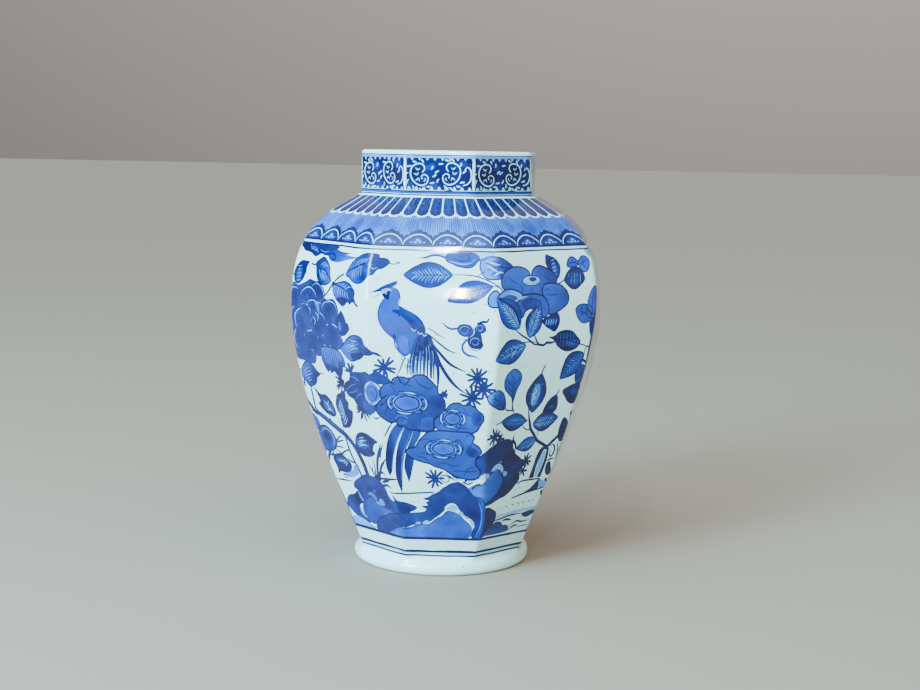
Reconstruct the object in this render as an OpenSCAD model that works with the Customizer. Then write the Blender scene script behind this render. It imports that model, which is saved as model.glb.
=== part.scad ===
// Octagonal porcelain jar without a lid: a faceted baluster body with a round
// shoulder and an upright neck, on a thick round foot roll.
// The clay sections are luted to each other face to face. Z = 0 is the foot's
// resting face and Z is the jar's axis. Flats of the octagon face -Y and +X.

/* [Overall] */
// Height from the resting face to the top of the lip
jar_h = 380; // [370:1:400]
// Width of the belly across two opposite flats, at its widest
belly_w = 277; // [262:1:290]
// Fired thickness of the walls
wall = 7; // [5:0.5:9]

/* [Body] */
// Height of the widest point of the belly
belly_z = 234.5; // [228:0.5:242]
// Height of the seam between the lower and the upper body
belly_seam_z = 190; // [150:1:220]
// Height of the seam under the shoulder, where the painted line runs
shoulder_seam_z = 297.5; // [285:0.5:305]
// Width across flats where the body stands on the foot roll
waist_w = 149; // [147:0.5:151]
// How much the half width grows for each unit of height just above the foot
flank_slope = 0.4; // [0.34:0.02:0.46]

/* [Neck] */
// Height at which the neck stands on the shoulder
neck_z = 340; // [336:1:344]
// Width of the neck across flats
neck_w = 154; // [146:1:156]
// Width of the shoulder across flats at the foot of the neck
shoulder_top_w = 159.5; // [158:0.5:166]
// Radius of the rounded edges of the lip
lip_r = 3; // [1.5:0.5:3]

/* [Foot] */
// Outer radius of the round foot roll
foot_r = 82; // [80:0.5:84]
// Height of the foot roll, up to the body
foot_h = 16; // [14:0.5:18]
// Radius of the hollow under the base
foot_bore_r = 64; // [58:1:65]
// Radius of the curve from the roll's side down to the resting face
foot_under_r = 5; // [4:0.5:7]
// Radius of the curve from the roll's side up to the body
foot_side_r = 16; // [16:1:30]
// Depth of the hollow under the base
foot_recess = 8; // [6:0.5:10]

/* [Hidden] */

$fn = 96;
STEPS = 16;               // straight steps in each curve of the outline
LIP_STEPS = 6;            // straight steps in each rounded edge of the lip
ROLL_STEPS = 8;           // straight steps in each curve of the foot roll
FACE_TURN = 45;           // angle between neighbouring flats of the octagon
SEAM_REACH = 1;           // how far cutting shapes pass the faces that they cut
POLAR_GLAZE = [0.90, 0.94, 0.97];
PAINTED_GLAZE = [0.55, 0.65, 0.83];
DEEP_COBALT = [0.20, 0.30, 0.60];

belly_half = belly_w / 2;
waist_half = waist_w / 2;
shoulder_half = shoulder_top_w / 2;
neck_half = neck_w / 2;
mouth_half = neck_half - wall;

// Reach of each curve's handles, which sets how full the curve is
FLANK_RISE = 30;
BELLY_DROP = 73;
BELLY_RISE = 84;
SHOULDER_HANDLE = [18, -13.5];

// The outline of one half of the jar, as points [half width across flats, height]
flank_curve = [
    [waist_half, foot_h],
    [waist_half + flank_slope * FLANK_RISE, foot_h + FLANK_RISE],
    [belly_half, belly_z - BELLY_DROP],
    [belly_half, belly_z]
];
shoulder_curve = [
    [belly_half, belly_z],
    [belly_half, belly_z + BELLY_RISE],
    [shoulder_half, neck_z] + SHOULDER_HANDLE,
    [shoulder_half, neck_z]
];
curves = [flank_curve, shoulder_curve];

function bezier(p, t) =
    pow(1 - t, 3) * p[0] + 3 * pow(1 - t, 2) * t * p[1]
    + 3 * (1 - t) * t * t * p[2] + pow(t, 3) * p[3];

function bezier_slope(p, t) =
    3 * pow(1 - t, 2) * (p[1] - p[0]) + 6 * (1 - t) * t * (p[2] - p[1])
    + 3 * t * t * (p[3] - p[2]);

// A point on the curve, moved inwards at right angles to it
function inset(p, t, depth) =
    let (d = bezier_slope(p, t))
    bezier(p, t) + depth * [-d[1], d[0]] / norm(d);

function outline(depth) = [
    for (c = curves)
        for (i = [(c == flank_curve ? 0 : 1) : STEPS])
            inset(c, i / STEPS, depth)
];

function arc(centre, r, from, to, steps) = [
    for (i = [0 : steps])
        let (a = from + (to - from) * i / steps)
        centre + r * [cos(a), sin(a)]
];

// Mirrors a half outline, read upwards, into a closed symmetric one
function closed(half) = concat(
    half,
    [for (i = [len(half) - 1 : -1 : 0]) [-half[i][0], half[i][1]]]
);

// An upright octagonal solid whose half width follows the outline
module octagonal(half) {
    intersection_for(k = [0 : 3])
        rotate([90, 0, k * FACE_TURN])
            linear_extrude(height = 2 * belly_w, center = true)
                polygon(closed(half));
}

// The body's hollow, up to where the neck's own bore starts
inner_outline = concat(
    [[waist_half - wall, foot_h - SEAM_REACH]],
    [for (p = outline(wall)) if (p[1] > foot_h && p[0] > mouth_half) p],
    [[mouth_half, neck_z + SEAM_REACH]]
);

// The part of the body's wall between two seams
module body_section(from_z, to_z) {
    intersection() {
        difference() {
            octagonal(outline(0));
            octagonal(inner_outline);
        }
        translate([-belly_w, -belly_w, from_z])
            cube([2 * belly_w, 2 * belly_w, to_z - from_z]);
    }
}

// A round roll that is fullest low down, with a rounded shoulder up to the body
module foot_ring() {
    under_centre = [foot_r - foot_under_r, foot_under_r];
    side_centre = [foot_r - foot_side_r, foot_under_r];
    side_turn = asin((foot_h - foot_under_r) / foot_side_r);
    profile = concat(
        [[foot_bore_r, 0]],
        arc(under_centre, foot_under_r, -90, 0, ROLL_STEPS),
        arc(side_centre, foot_side_r, side_turn / ROLL_STEPS, side_turn, ROLL_STEPS - 1),
        [[foot_bore_r, foot_h]]
    );
    color(POLAR_GLAZE)
        rotate_extrude()
            polygon(profile);
}

module base_floor() {
    color(POLAR_GLAZE)
        translate([0, 0, foot_recess])
            cylinder(h = foot_h - foot_recess, r = foot_bore_r);
}

module lower_body() {
    color(PAINTED_GLAZE)
        body_section(foot_h, belly_seam_z);
}

module upper_body() {
    color(PAINTED_GLAZE)
        body_section(belly_seam_z, shoulder_seam_z);
}

module shoulder() {
    color(DEEP_COBALT)
        body_section(shoulder_seam_z, neck_z);
}

module neck_collar() {
    lip_z = jar_h - lip_r;
    outside = concat(
        [[neck_half, neck_z]],
        arc([neck_half - lip_r, lip_z], lip_r, 0, 90, LIP_STEPS)
    );
    bore = concat(
        [[mouth_half, neck_z - SEAM_REACH]],
        arc([mouth_half + lip_r, lip_z], lip_r, 180, 90, LIP_STEPS),
        [[mouth_half + lip_r, jar_h + SEAM_REACH]]
    );
    color(DEEP_COBALT)
        difference() {
            octagonal(outside);
            octagonal(bore);
        }
}

foot_ring();
base_floor();
lower_body();
upper_body();
shoulder();
neck_collar();
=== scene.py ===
import math
import random

import bpy
import numpy as np
from mathutils import Matrix, Vector, geometry


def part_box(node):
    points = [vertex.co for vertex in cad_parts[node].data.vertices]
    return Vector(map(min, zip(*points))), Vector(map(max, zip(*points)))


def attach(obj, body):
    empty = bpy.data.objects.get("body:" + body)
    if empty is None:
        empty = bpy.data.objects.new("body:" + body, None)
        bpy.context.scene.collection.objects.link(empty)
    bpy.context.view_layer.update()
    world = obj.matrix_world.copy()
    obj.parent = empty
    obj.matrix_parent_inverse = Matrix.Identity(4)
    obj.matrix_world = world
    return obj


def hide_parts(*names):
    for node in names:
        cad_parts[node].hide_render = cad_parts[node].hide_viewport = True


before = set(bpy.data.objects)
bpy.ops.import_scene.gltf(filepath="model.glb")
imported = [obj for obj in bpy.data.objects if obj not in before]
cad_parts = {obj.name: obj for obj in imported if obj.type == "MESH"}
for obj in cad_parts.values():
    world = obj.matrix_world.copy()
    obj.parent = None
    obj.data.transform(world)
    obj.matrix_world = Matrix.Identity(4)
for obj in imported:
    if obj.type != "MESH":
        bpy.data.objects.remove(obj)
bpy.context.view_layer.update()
dice = random.Random(11)

# ---------------------------------------------------------------- the jar's form, in millimetres
MM = 1000.0
FACETS = 8
HALF_TURN = math.radians(22.5)  # half a facet of the octagon
VIEW_TURN = math.radians(6.3)   # how far the viewer stands round to the right of the front flat
ROLL_UNITS = 110.0              # width of one flat on the unrolled surface
FIRST = -3                      # flats are numbered from the closing corner at the back; the front is 0
LAST = FIRST + FACETS
FLANK_RISE = (12.0, 30.0)
BELLY_DROP = 73.0
BELLY_RISE = 84.0
SHOULDER_HANDLE = (18.0, -13.5)


def cad_vertices(name):
    return np.array([v.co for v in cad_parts[name].data.vertices]) * MM


def span(name):
    """A CAD section's lowest and highest height."""
    lo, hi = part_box(name)
    return lo.z * MM, hi.z * MM


def half_width(name, z):
    """Half the width across flats of a CAD section at a height, from a ray shot at its +X flat."""
    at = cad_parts[name].ray_cast(Vector((0.5, 0, z / MM)), Vector((-1, 0, 0)))[1]
    return at.x * MM


def widest_point(name):
    """Half the width across flats, and the height, where a CAD section is widest."""
    points = cad_vertices(name)
    radius = np.hypot(points[:, 0], points[:, 1])
    top = int(np.argmax(radius))
    return radius[top] * math.cos(HALF_TURN), points[top, 2]


FOOT_TOP, BELLY_SEAM = span("lower_body")
SHOULDER_SEAM = span("upper_body")[1]
NECK_Z, JAR_TOP = span("neck_collar")
WAIST_HALF = half_width("lower_body", FOOT_TOP + 0.01)
BELLY_HALF, BELLY_Z = widest_point("upper_body")
SHOULDER_HALF = half_width("shoulder", NECK_Z - 0.01)
NECK_HALF = half_width("neck_collar", (NECK_Z + JAR_TOP) / 2)
FOOT_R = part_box("foot_ring")[1].x * MM
BORE_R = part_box("base_floor")[1].x * MM
RECESS = span("base_floor")[0]
WALL = 7.0
LIP_R = 3.0
LIP_ROWS = 12
FOOT_UNDER_R = 5.0
FOOT_UNDER_ROWS = 8
FOOT_SIDE_R = 16.0
FOOT_SIDE_ROWS = 10
FOOT_SETTLE = 8.0    # height over which the roll moves under the body and takes its shape
FOOT_SLIP = -3.6     # how far the roll sits to the left of the body
FLOOR_POINTS = 96


def unit(v):
    return v / np.maximum(np.linalg.norm(v, axis=1), 1e-9)[:, None]


def bezier(p, t):
    p = np.array(p)
    t = t[:, None]
    return (1 - t) ** 3 * p[0] + 3 * (1 - t) ** 2 * t * p[1] + 3 * (1 - t) * t * t * p[2] + t ** 3 * p[3]


def body_outline():
    t = np.linspace(0, 1, 300)
    flank = bezier([(WAIST_HALF, FOOT_TOP), (WAIST_HALF + FLANK_RISE[0], FOOT_TOP + FLANK_RISE[1]),
                    (BELLY_HALF, BELLY_Z - BELLY_DROP), (BELLY_HALF, BELLY_Z)], t)
    shoulder = bezier([(BELLY_HALF, BELLY_Z), (BELLY_HALF, BELLY_Z + BELLY_RISE),
                       (SHOULDER_HALF + SHOULDER_HANDLE[0], NECK_Z + SHOULDER_HANDLE[1]),
                       (SHOULDER_HALF, NECK_Z)], t[1:])
    return np.vstack([flank, shoulder])


OUTLINE = body_outline()
SLOPE = unit(np.gradient(OUTLINE, axis=0))
INNER = OUTLINE + WALL * np.stack([-SLOPE[:, 1], SLOPE[:, 0]], 1)


def outer_half(z):
    return np.interp(z, OUTLINE[:, 1], OUTLINE[:, 0])


def inner_half(z):
    return np.maximum(np.interp(z, INNER[:, 1], INNER[:, 0]), NECK_HALF - WALL)


def neck_half(z):
    return np.full_like(np.asarray(z, float), NECK_HALF)


def paint_half(z):
    return np.where(np.asarray(z) > NECK_Z, NECK_HALF, outer_half(z))


def smooth(keys, values, x):
    """A smooth curve through values at the given keys."""
    keys = np.asarray(keys, float)
    values = np.asarray(values, float)
    slopes = np.gradient(values, keys)
    x = np.clip(x, keys[0], keys[-1])
    i = np.clip(np.searchsorted(keys, x) - 1, 0, len(keys) - 2)
    h = keys[i + 1] - keys[i]
    t = (x - keys[i]) / h
    return ((2 * t ** 3 - 3 * t ** 2 + 1) * values[i] + (t ** 3 - 2 * t ** 2 + t) * h * slopes[i]
            + (3 * t ** 2 - 2 * t ** 3) * values[i + 1] + (t ** 3 - t ** 2) * h * slopes[i + 1])


# Hand-built corners wander a few degrees from a true octagon, most near the foot
DRIFT_Z = (0, 20, 50, 90, 200, 300, 340, 380)
DRIFT = {
    7: (7, 7, 5, 1, -3, -2, 0, 0),
    0: (5, 5, 5.5, 3, 0.5, 0, 1, 1),
    1: (5, 5, 5, 0.5, -0.8, 0, -1, -1),
    2: (0, 0, -4.5, -6.5, -5.5, 2, 2, 0),
}
# How far the body leans to the right at each height
LEAN_Z = (0, 20, 80, 150, 230, 300, 340, 380)
LEAN = (-2.2, -1.6, 1.2, 2.4, 2.6, 0.2, -0.9, -1.2)
# How much of a flat the rounding of its corners takes at each height
EDGE_Z = (0, 60, 200, 300, 335, 350, 380)
EDGE = (0.04, 0.035, 0.032, 0.045, 0.08, 0.05, 0.06)


def corner(j, half, z):
    """Where corner j of the octagon stands at height z."""
    turn = np.zeros_like(z)
    for c in DRIFT:
        here = np.mod(j, FACETS) == c
        if here.any():
            turn[here] = smooth(DRIFT_Z, DRIFT[c], z[here])
    a = np.radians(45.0 * j + turn) - HALF_TURN
    return np.stack([np.sin(a), -np.cos(a)], 1) * (half / math.cos(HALF_TURN))[:, None]


def shell(s, half, z):
    """The point of an octagonal surface at s facets round from the front's left corner."""
    s, half, z = (np.asarray(v, float) for v in np.broadcast_arrays(s, half, z))
    j = np.round(s)
    f = s - j
    edge = smooth(EDGE_Z, EDGE, z)
    here = corner(j, half, z)
    ahead = corner(j + 1, half, z) - here
    back = corner(j - 1, half, z) - here
    f_round = (f * f + edge * edge) / (2 * edge)
    f_round = np.where(np.abs(f) < edge, f_round, np.abs(f))
    flat = here + ahead * ((f_round + f) / 2)[:, None] + back * ((f_round - f) / 2)[:, None]
    lean = smooth(LEAN_Z, LEAN, z)
    return np.stack([flat[:, 0] + lean * math.cos(VIEW_TURN), flat[:, 1] + lean * math.sin(VIEW_TURN), z], 1)


def shell_normal(s, half_of, z):
    """The outward normal of an octagonal surface whose half width follows the height."""
    dz = 0.5
    ds = 0.004
    low = np.asarray(z, float) - dz
    up = np.asarray(z, float) + dz
    along = shell(s, half_of(up), up) - shell(s, half_of(low), low)
    half = half_of(np.asarray(z, float))
    around = shell(s + ds, half, z) - shell(s - ds, half, z)
    return unit(np.cross(around, along))


# ---------------------------------------------------------------- brushwork, in millimetres on a flat
PAINT = []


def place(k, points):
    """From (across, height) on flat k to the unrolled surface."""
    points = np.asarray(points, float)
    half = paint_half(points[:, 1]) * math.tan(HALF_TURN)
    s = k + (points[:, 0] / half + 1) / 2
    return np.stack([s * ROLL_UNITS, points[:, 1]], 1)


def flow(points, closed=False, step=2.0):
    """A smooth curve through the given points."""
    p = np.asarray(points, float)
    if closed:
        p = np.vstack([p[-1], p, p[0], p[1]])
    else:
        p = np.vstack([2 * p[0] - p[1], p, 2 * p[-1] - p[-2]])
    out = []
    for i in range(1, len(p) - 2):
        n = max(2, int(math.ceil(np.linalg.norm(p[i + 1] - p[i]) / step)))
        for m in range(n):
            t = m / n
            out.append(0.5 * (2 * p[i] + (p[i + 1] - p[i - 1]) * t
                              + (2 * p[i - 1] - 5 * p[i] + 4 * p[i + 1] - p[i + 2]) * t * t
                              + (3 * p[i] - p[i - 1] - 3 * p[i + 1] + p[i + 2]) * t ** 3))
    if not closed:
        out.append(p[-2])
    return np.array(out)


def lay(k, polygon, tone):
    """Adds one painted area. Tone 0 is bare glaze and 1 the deepest cobalt."""
    PAINT.append((place(k, polygon), tone))


def along(k, a, b, tone_a, tone_b):
    """A wash that changes evenly from point a to point b."""
    a, b = place(k, [a, b])
    d = (b - a) / np.dot(b - a, b - a)
    return lambda p: tone_a + (tone_b - tone_a) * np.clip((p - a) @ d, 0, 1)


def around(k, centre, rx, ry, tone_in, tone_out):
    """A wash that changes from a centre to the rim of an ellipse round it."""
    c = place(k, [centre])[0]

    def tone(p):
        off = np.hypot((p[:, 0] - c[0]) / rx, (p[:, 1] - c[1]) / ry)
        return tone_in + (tone_out - tone_in) * np.clip(off, 0, 1)
    return tone


def blob(k, points, tone, step=2.0):
    """An area with a smooth closed outline."""
    lay(k, flow(points, True, step), tone)


def stroke(k, points, width, tone, start=0.25, end=0.25, closed=False, step=2.0):
    """A brush line; start and end are the widths of its ends as parts of the full width."""
    c = flow(points, closed, step)
    if closed:
        d = np.roll(c, -1, 0) - np.roll(c, 1, 0)
        w = np.full(len(c), width / 2)
    else:
        d = np.gradient(c, axis=0)
        t = np.linspace(0, 1, len(c))
        press = np.minimum(start + (1 - start) * t / 0.35, end + (1 - end) * (1 - t) / 0.35)
        w = width / 2 * np.minimum(1, press)
    n = np.stack([-d[:, 1], d[:, 0]], 1) / np.maximum(np.linalg.norm(d, axis=1), 1e-6)[:, None]
    left = c + n * w[:, None]
    right = c - n * w[:, None]
    if closed:
        left = np.vstack([left, left[:1]])
        right = np.vstack([right, right[:1]])
    lay(k, np.vstack([left, right[::-1]]), tone)


def strokes(k, lines, *brush, **how):
    """Several strokes of the same brush."""
    for line in lines:
        stroke(k, line, *brush, **how)


def ellipse(centre, rx, ry, turn=0.0, n=14, wave=0.0, lobes=5, phase=0.0):
    """A ring of points round an ellipse, turned by some degrees; a wave gives it rounded lobes."""
    a = np.linspace(0, 2 * math.pi, n, endpoint=False)
    r = 1 + wave * np.abs(np.cos(lobes * (a + phase) / 2))
    x = rx * r * np.cos(a)
    y = ry * r * np.sin(a)
    c, q = math.cos(math.radians(turn)), math.sin(math.radians(turn))
    return np.stack([centre[0] + c * x - q * y, centre[1] + q * x + c * y], 1)


# ---------------------------------------------------------------- bands round the jar
TONGUES = 7          # petals on each flat under the neck
SCALLOPS = 4         # arches on each flat of the shoulder
COMB_STROKES = 46    # combed strokes on each flat of the shoulder


def arc_points(centre, rx, ry, start, end, n=6):
    """Points along part of an ellipse, between two angles in degrees."""
    a = [math.radians(start + (end - start) * i / (n - 1)) for i in range(n)]
    return [(centre[0] + rx * math.cos(v), centre[1] + ry * math.sin(v)) for v in a]


def across(z, part):
    """Distance across a flat at height z; part runs from -1 to 1 between its corners."""
    return float(paint_half(z)) * math.tan(HALF_TURN) * part


def band(low, high, tone):
    """A level band right round the jar."""
    for k in range(FIRST, LAST):
        steps = [-1 + 0.25 * i for i in range(9)]
        lay(k, [(across(low, p), low) for p in steps] + [(across(high, p), high) for p in steps[::-1]], tone)


def line_round(z, width, tone, wander=0.25):
    """A brushed line round the jar, a little uneven."""
    for k in range(FIRST, LAST):
        parts = [-1, -0.6, -0.2, 0.2, 0.6, 1]
        rise = [0] + [dice.uniform(-wander, wander) for p in parts[1:-1]] + [0]
        thick = [width] + [width * dice.uniform(0.75, 1.25) for p in parts[1:-1]] + [width]
        low = [(across(z, p), z + r - t / 2) for p, r, t in zip(parts, rise, thick)]
        high = [(across(z, p), z + r + t / 2) for p, r, t in zip(parts, rise, thick)]
        lay(k, low + high[::-1], tone)


def scroll(k, cx, cz, side, size):
    """A light C scroll with curled ends, with little curls inside and around it."""
    def at(points):
        return [(cx + side * size * x, cz + size * z) for x, z in points]
    for i in range(11):
        a = 360 * i / 11 + dice.uniform(-9, 9)
        inner = arc_points((cx, cz), 11.3 * size, 11.3 * size, a, a + 8, 2)[0]
        outer = arc_points((cx, cz), 14.6 * size, 13.6 * size, a + 12, a + 20, 2)[0]
        stroke(k, [inner, ((inner[0] + outer[0]) / 2 + dice.uniform(-1, 1), (inner[1] + outer[1]) / 2),
                   outer], 1.5, 0.16, 0.3, 0.9, step=1.2)
    stroke(k,
           at([(2, 2.5), (4, 5.5), (2.6, 9), (-2, 10), (-7, 7.6), (-9, 2.6), (-7.6, -3.4), (-3, -7.8),
               (2.4, -8.8), (6.6, -6), (7, -1.6), (4, 0.6), (1.2, -1), (2, -3.4)]), 1.2 * size, 0.1, 0.8,
           0.6, step=1.2)
    for curl, wide in [([(-5.8, 1.5), (-3, 0.4), (-1.8, 2.6)], 1.3),
                       ([(-4, -4.6), (-1.4, -3), (-0.6, -5.4)], 1.2),
                       ([(-4.4, 6.4), (-2.4, 4.6), (-0.4, 6)], 1.2),
                       ([(3.2, -5.4), (4.8, -4), (4.2, -2.6)], 1.0)]:
        stroke(k, at(curl), wide * size, 0.2, 0.7, 0.3, step=1.2)


def neck_band(k):
    """One panel of scrolls on the neck, with pale marks along its top and bottom and a painted highlight down
    each corner.
    """
    lay(k, [(across(350, -1), 345.6), (across(350, 1), 345.6), (across(350, 1), 373.6),
            (across(350, -1), 373.6)], 0.9)
    for u, z, r, t in [(-21, 360, 6, 0.97), (-8, 366, 4, 0.7), (3, 356, 5, 0.97), (12, 364, 5, 0.95),
                       (-12, 371, 5, 0.9), (24, 357, 6, 0.92), (-27, 349, 4, 0.7), (9, 348, 5, 0.9),
                       (22, 369, 4, 0.7), (-5, 349, 4, 0.7)]:
        blob(k, ellipse((u, z), r * dice.uniform(0.8, 1.2), r * 0.8, n=8), t)
    scroll(k, -17.5, 358.5, 1, 1.0)
    scroll(k, 10.5, 359.5, dice.choice([1, 1, -1]), 1.0)
    stroke(k, [(22, 350), (27, 352), (29.5, 357), (29, 363), (26, 366), (23.5, 363.5)], 1.3, 0.1, 0.6, 0.6)
    for i in range(9):
        u = -28 + 7 * i
        blob(k, [(u - 1.7, 346), (u, 348.6 + dice.uniform(-0.5, 0.8)), (u + 1.7, 346)], 0.16, 1.2)
        blob(k, [(u + 1.6, 373.4), (u + 3, 371.2 + dice.uniform(-0.8, 0.4)), (u + 4.4, 373.4)], 0.25, 1.2)
    # Painted highlight: a near-white stroke down each corner of the panel, standing in for light caught on
    # the neck's corners
    for side in (-1, 1):
        edge = across(350, side)
        stroke(k, [(edge, 374), (edge - side * 0.5, 367), (edge - side * 0.1, 360),
                   (edge - side * 0.7, 352), (edge, 345)], 2.0, 0.04, 0.8, 0.8)


def tongue(k, i):
    """One long petal of the collar of petals under the neck."""
    left = -1 + 2 * i / TONGUES
    right = left + 2 / TONGUES
    middle = (left + right) / 2
    gap = 0.6
    lean = dice.uniform(-0.3, 0.3)

    def side(z, part, way):
        return across(z, part) + way * gap + lean
    shape = [(side(339.2, left, 1), 339.2), (side(333, left, 1), 333), (side(327.4, left, 1), 327.4)]
    shape += [(across(325, left + 0.05), 325.2), (across(323.6, middle), 324 + dice.uniform(-0.3, 0.3)),
              (across(325, right - 0.05), 325.2)]
    shape += [(side(327.4, right, -1), 327.4), (side(333, right, -1), 333), (side(339.2, right, -1), 339.2)]
    lay(k, shape, along(k, (across(330, middle - 0.09), 334), (across(330, middle + 0.09), 328), 0.8, 0.94))
    stroke(k, [(across(335, middle - 0.05), 337), (across(330, middle - 0.03), 331),
               (across(326, middle), 326)], 2.6, 0.76)


def scallop(k, i):
    """A stepped cloud arch at the foot of the shoulder."""
    left = -1 + 2 * i / SCALLOPS
    right = left + 2 / SCALLOPS
    width = right - left

    def at(points):
        return [(across(z, left + width * f), z) for f, z in points]
    peak = 313.4 + dice.uniform(-0.8, 0.8)
    steps = [(-0.04, 299), (-0.03, 305.5), (0.05, 309), (0.16, 309.2), (0.22, 311.4), (0.36, 311.6),
             (0.43, 312.9), (0.5, peak), (0.57, 312.9), (0.64, 311.6), (0.78, 311.4), (0.84, 309.2),
             (0.95, 309), (1.03, 305.5), (1.04, 299)]
    lay(k, at(steps), along(k, (across(305, left), 306), (across(305, right), 306), 0.84, 0.94))
    inner = [(0.01, 300.6), (0.05, 303.6), (0.16, 306.2), (0.32, 308.4), (0.5, 309.2), (0.68, 308.4),
             (0.84, 306.2), (0.95, 303.6), (0.99, 300.6)]
    blob(k, at(inner), 0.78, 1.5)
    stroke(k, at(inner), 0.85, 0.12, 0.9, 0.9, step=1.2)
    blob(k, at([(0.3, 301.2), (0.36, 305), (0.5, 306.8), (0.64, 305), (0.7, 301.2)]), 0.6)
    for f, z, r in [(0.42, 302.6, 0.9), (0.5, 304.4, 1.2), (0.58, 302.9, 0.9), (0.72, 302.6, 0.7),
                    (0.27, 302.6, 0.7)]:
        blob(k,
             ellipse((across(z, left + width * f), z), r * 1.5, r * 0.7, n=6, turn=dice.uniform(-30, 30)),
             0.25, 1.2)


def comb(k):
    """Fine combed strokes between the petals and the arches."""
    for i in range(COMB_STROKES):
        part = -1 + 2 * (i + 0.5) / COMB_STROKES
        shift = dice.uniform(-0.008, 0.008)
        tone = dice.choice([0.56, 0.62, 0.7])
        low = 307 + dice.uniform(0, 3)
        stroke(k, [(across(325, part), 325), (across(316, part + shift), 316), (across(low, part), low)],
               0.85, tone, 0.7, 0.3, step=5)


def bands():
    """The bands of the neck, the shoulder and the foot, from the washes up to the last lines."""
    band(307, 326.5, 0.38)
    for k in range(FIRST, LAST):
        for i in range(5):
            u = across(316, -0.9 + 0.45 * i + dice.uniform(-0.1, 0.1))
            if abs(u) < 36:
                blob(k, ellipse((u, 316 + dice.uniform(-2, 2)), dice.uniform(3, 7), 6, n=9),
                     dice.choice([0.33, 0.36, 0.45]))
        comb(k)
    band(324.4, NECK_Z - 0.6, 0.05)
    for k in range(FIRST, LAST):
        rounds = [(across(324, -1 + 2 * (i + h) / TONGUES), 325.6 - (2.6 if h else 0))
                  for i in range(TONGUES) for h in (0, 0.25, 0.5, 0.75)]
        lay(k, [(across(326, -1), 325.6)] + rounds
            + [(across(326, 1), 325.6), (across(330, 1), 330), (across(330, -1), 330)], 0.05)
        for i in range(TONGUES):
            tongue(k, i)
        for i in range(SCALLOPS):
            scallop(k, i)
    line_round(299.7, 2.0, 0.97, 0.2)
    band(297.2, 298.9, 0.06)
    line_round(296.3, 1.3, 0.9, 0.3)
    for k in range(FIRST, LAST):
        neck_band(k)
    band(343.9, 345.2, 0.75)
    band(342.2, 343.9, 0.5)
    band(340.6, 341.8, 0.82)
    band(373.6, 375.3, 0.3)
    line_round(376.0, 1.0, 0.72, 0.1)
    line_round(35.2, 2.6, 0.97, 0.2)
    line_round(21.8, 2.6, 0.97, 0.3)
    line_round(17.6, 2.0, 0.92, 0.3)
    band(18.8, 20.6, 0.08)


# ---------------------------------------------------------------- painted motifs
def edged(k, points, tone, line=0.97, width=1.35):
    """A washed area with a brushed outline."""
    blob(k, points, tone)
    stroke(k, points, width, line, closed=True)


def leaf_shape(base, tip, width, bend=0.0, fullest=0.85):
    """A function that gives the point at t along a leaf and w of the way from its spine to its rim."""
    base = np.array(base, float)
    axis = np.array(tip, float) - base
    side = np.array([-axis[1], axis[0]]) / np.linalg.norm(axis)

    def at(t, w):
        swell = math.sin(math.pi * t ** fullest) ** 0.8
        return base + axis * t + side * (bend * 4 * t * (1 - t) + w * width / 2 * swell)
    return at


def from_spine(k, base, tip, width, rim, heart):
    """A wash that is dark at a leaf's rim and pale along its spine."""
    a, b, c, d = place(k, [base, tip, (0, (base[1] + tip[1]) / 2), (width / 2, (base[1] + tip[1]) / 2)])
    run = b - a
    across_way = np.array([-run[1], run[0]]) / np.linalg.norm(run)
    reach = abs(d[0] - c[0]) * abs(across_way[0]) + width / 2 * abs(across_way[1])

    def tone(p):
        t = np.clip((p - a) @ run / (run @ run), 0, 1)
        off = np.clip(np.abs((p - a) @ across_way) / (reach * np.maximum(np.sin(math.pi * t), 0.2) ** 0.7),
                      0, 1)
        return np.clip(heart + (rim - heart) * off ** 1.25 + 0.12 * t * t, 0, 1)
    return tone


def leaf(k, base, tip, width, tone=0.75, light=0.22, veins=6, bend=0.0, middle=0.34, reach=0.8, fullest=0.85):
    """A leaf with a dark rim, a paler heart and fine brushed veins."""
    at = leaf_shape(base, tip, width, bend, fullest)
    wash = from_spine(k, base, tip, width, tone, middle + 0.16)
    ring = [at(i / 9, 1) for i in range(1, 9)] + [at(1, 0)] + [at(1 - i / 9, -1) for i in range(1, 9)]
    blob(k, [at(0, 0)] + ring, wash, 1.5)
    for w in (-0.66, -0.33, 0.33, 0.66):
        stroke(k, [at(0.08, w), at(0.4, w), at(0.7, w), at(0.92, w)], 0.3, wash, step=2.5)
    n = veins + 3
    for i in range(n):
        t = 0.04 + 0.72 * (i + 0.5) / n
        for way in (1, -1):
            r = 0.8 * reach * dice.uniform(0.65, 1.15)
            shift = dice.uniform(-0.012, 0.012)
            pale = light + 0.06 + dice.uniform(0, 0.12)
            stroke(k, [at(t + shift, 0.03 * way), at(t + 0.06, 0.45 * r * way), at(t + 0.11, r * way)],
                   0.72, pale, 0.85, 0.1, step=1.5)
            stroke(k,
                   [at(t + 0.03, 0.05 * way), at(t + 0.09, 0.5 * r * way), at(t + 0.14, 0.95 * r * way)],
                   0.5, min(1, tone + 0.04), 0.8, 0.3, step=2)
    stroke(k, [at(0.0, 0), at(0.4, 0), at(0.9, 0)], 0.8, min(1, tone + 0.1), 0.8, 0.3)
    stroke(k, [at(0.05, 1), at(0.3, 1), at(0.6, 1), at(0.97, 0.6)], 0.9, min(1, tone + 0.12), 0.3, 0.3)
    stroke(k, [at(0.05, -1), at(0.3, -1), at(0.6, -1), at(0.97, -0.6)], 0.9, min(1, tone + 0.12), 0.3, 0.3)


def pale_leaf(k, points, tone, veins):
    """A rounded leaf or bud in pale wash with thin dark veins."""
    edged(k, points, tone, 0.9, 1.1)
    strokes(k, veins, 0.9, 0.86, 0.8, 0.3)


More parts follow.
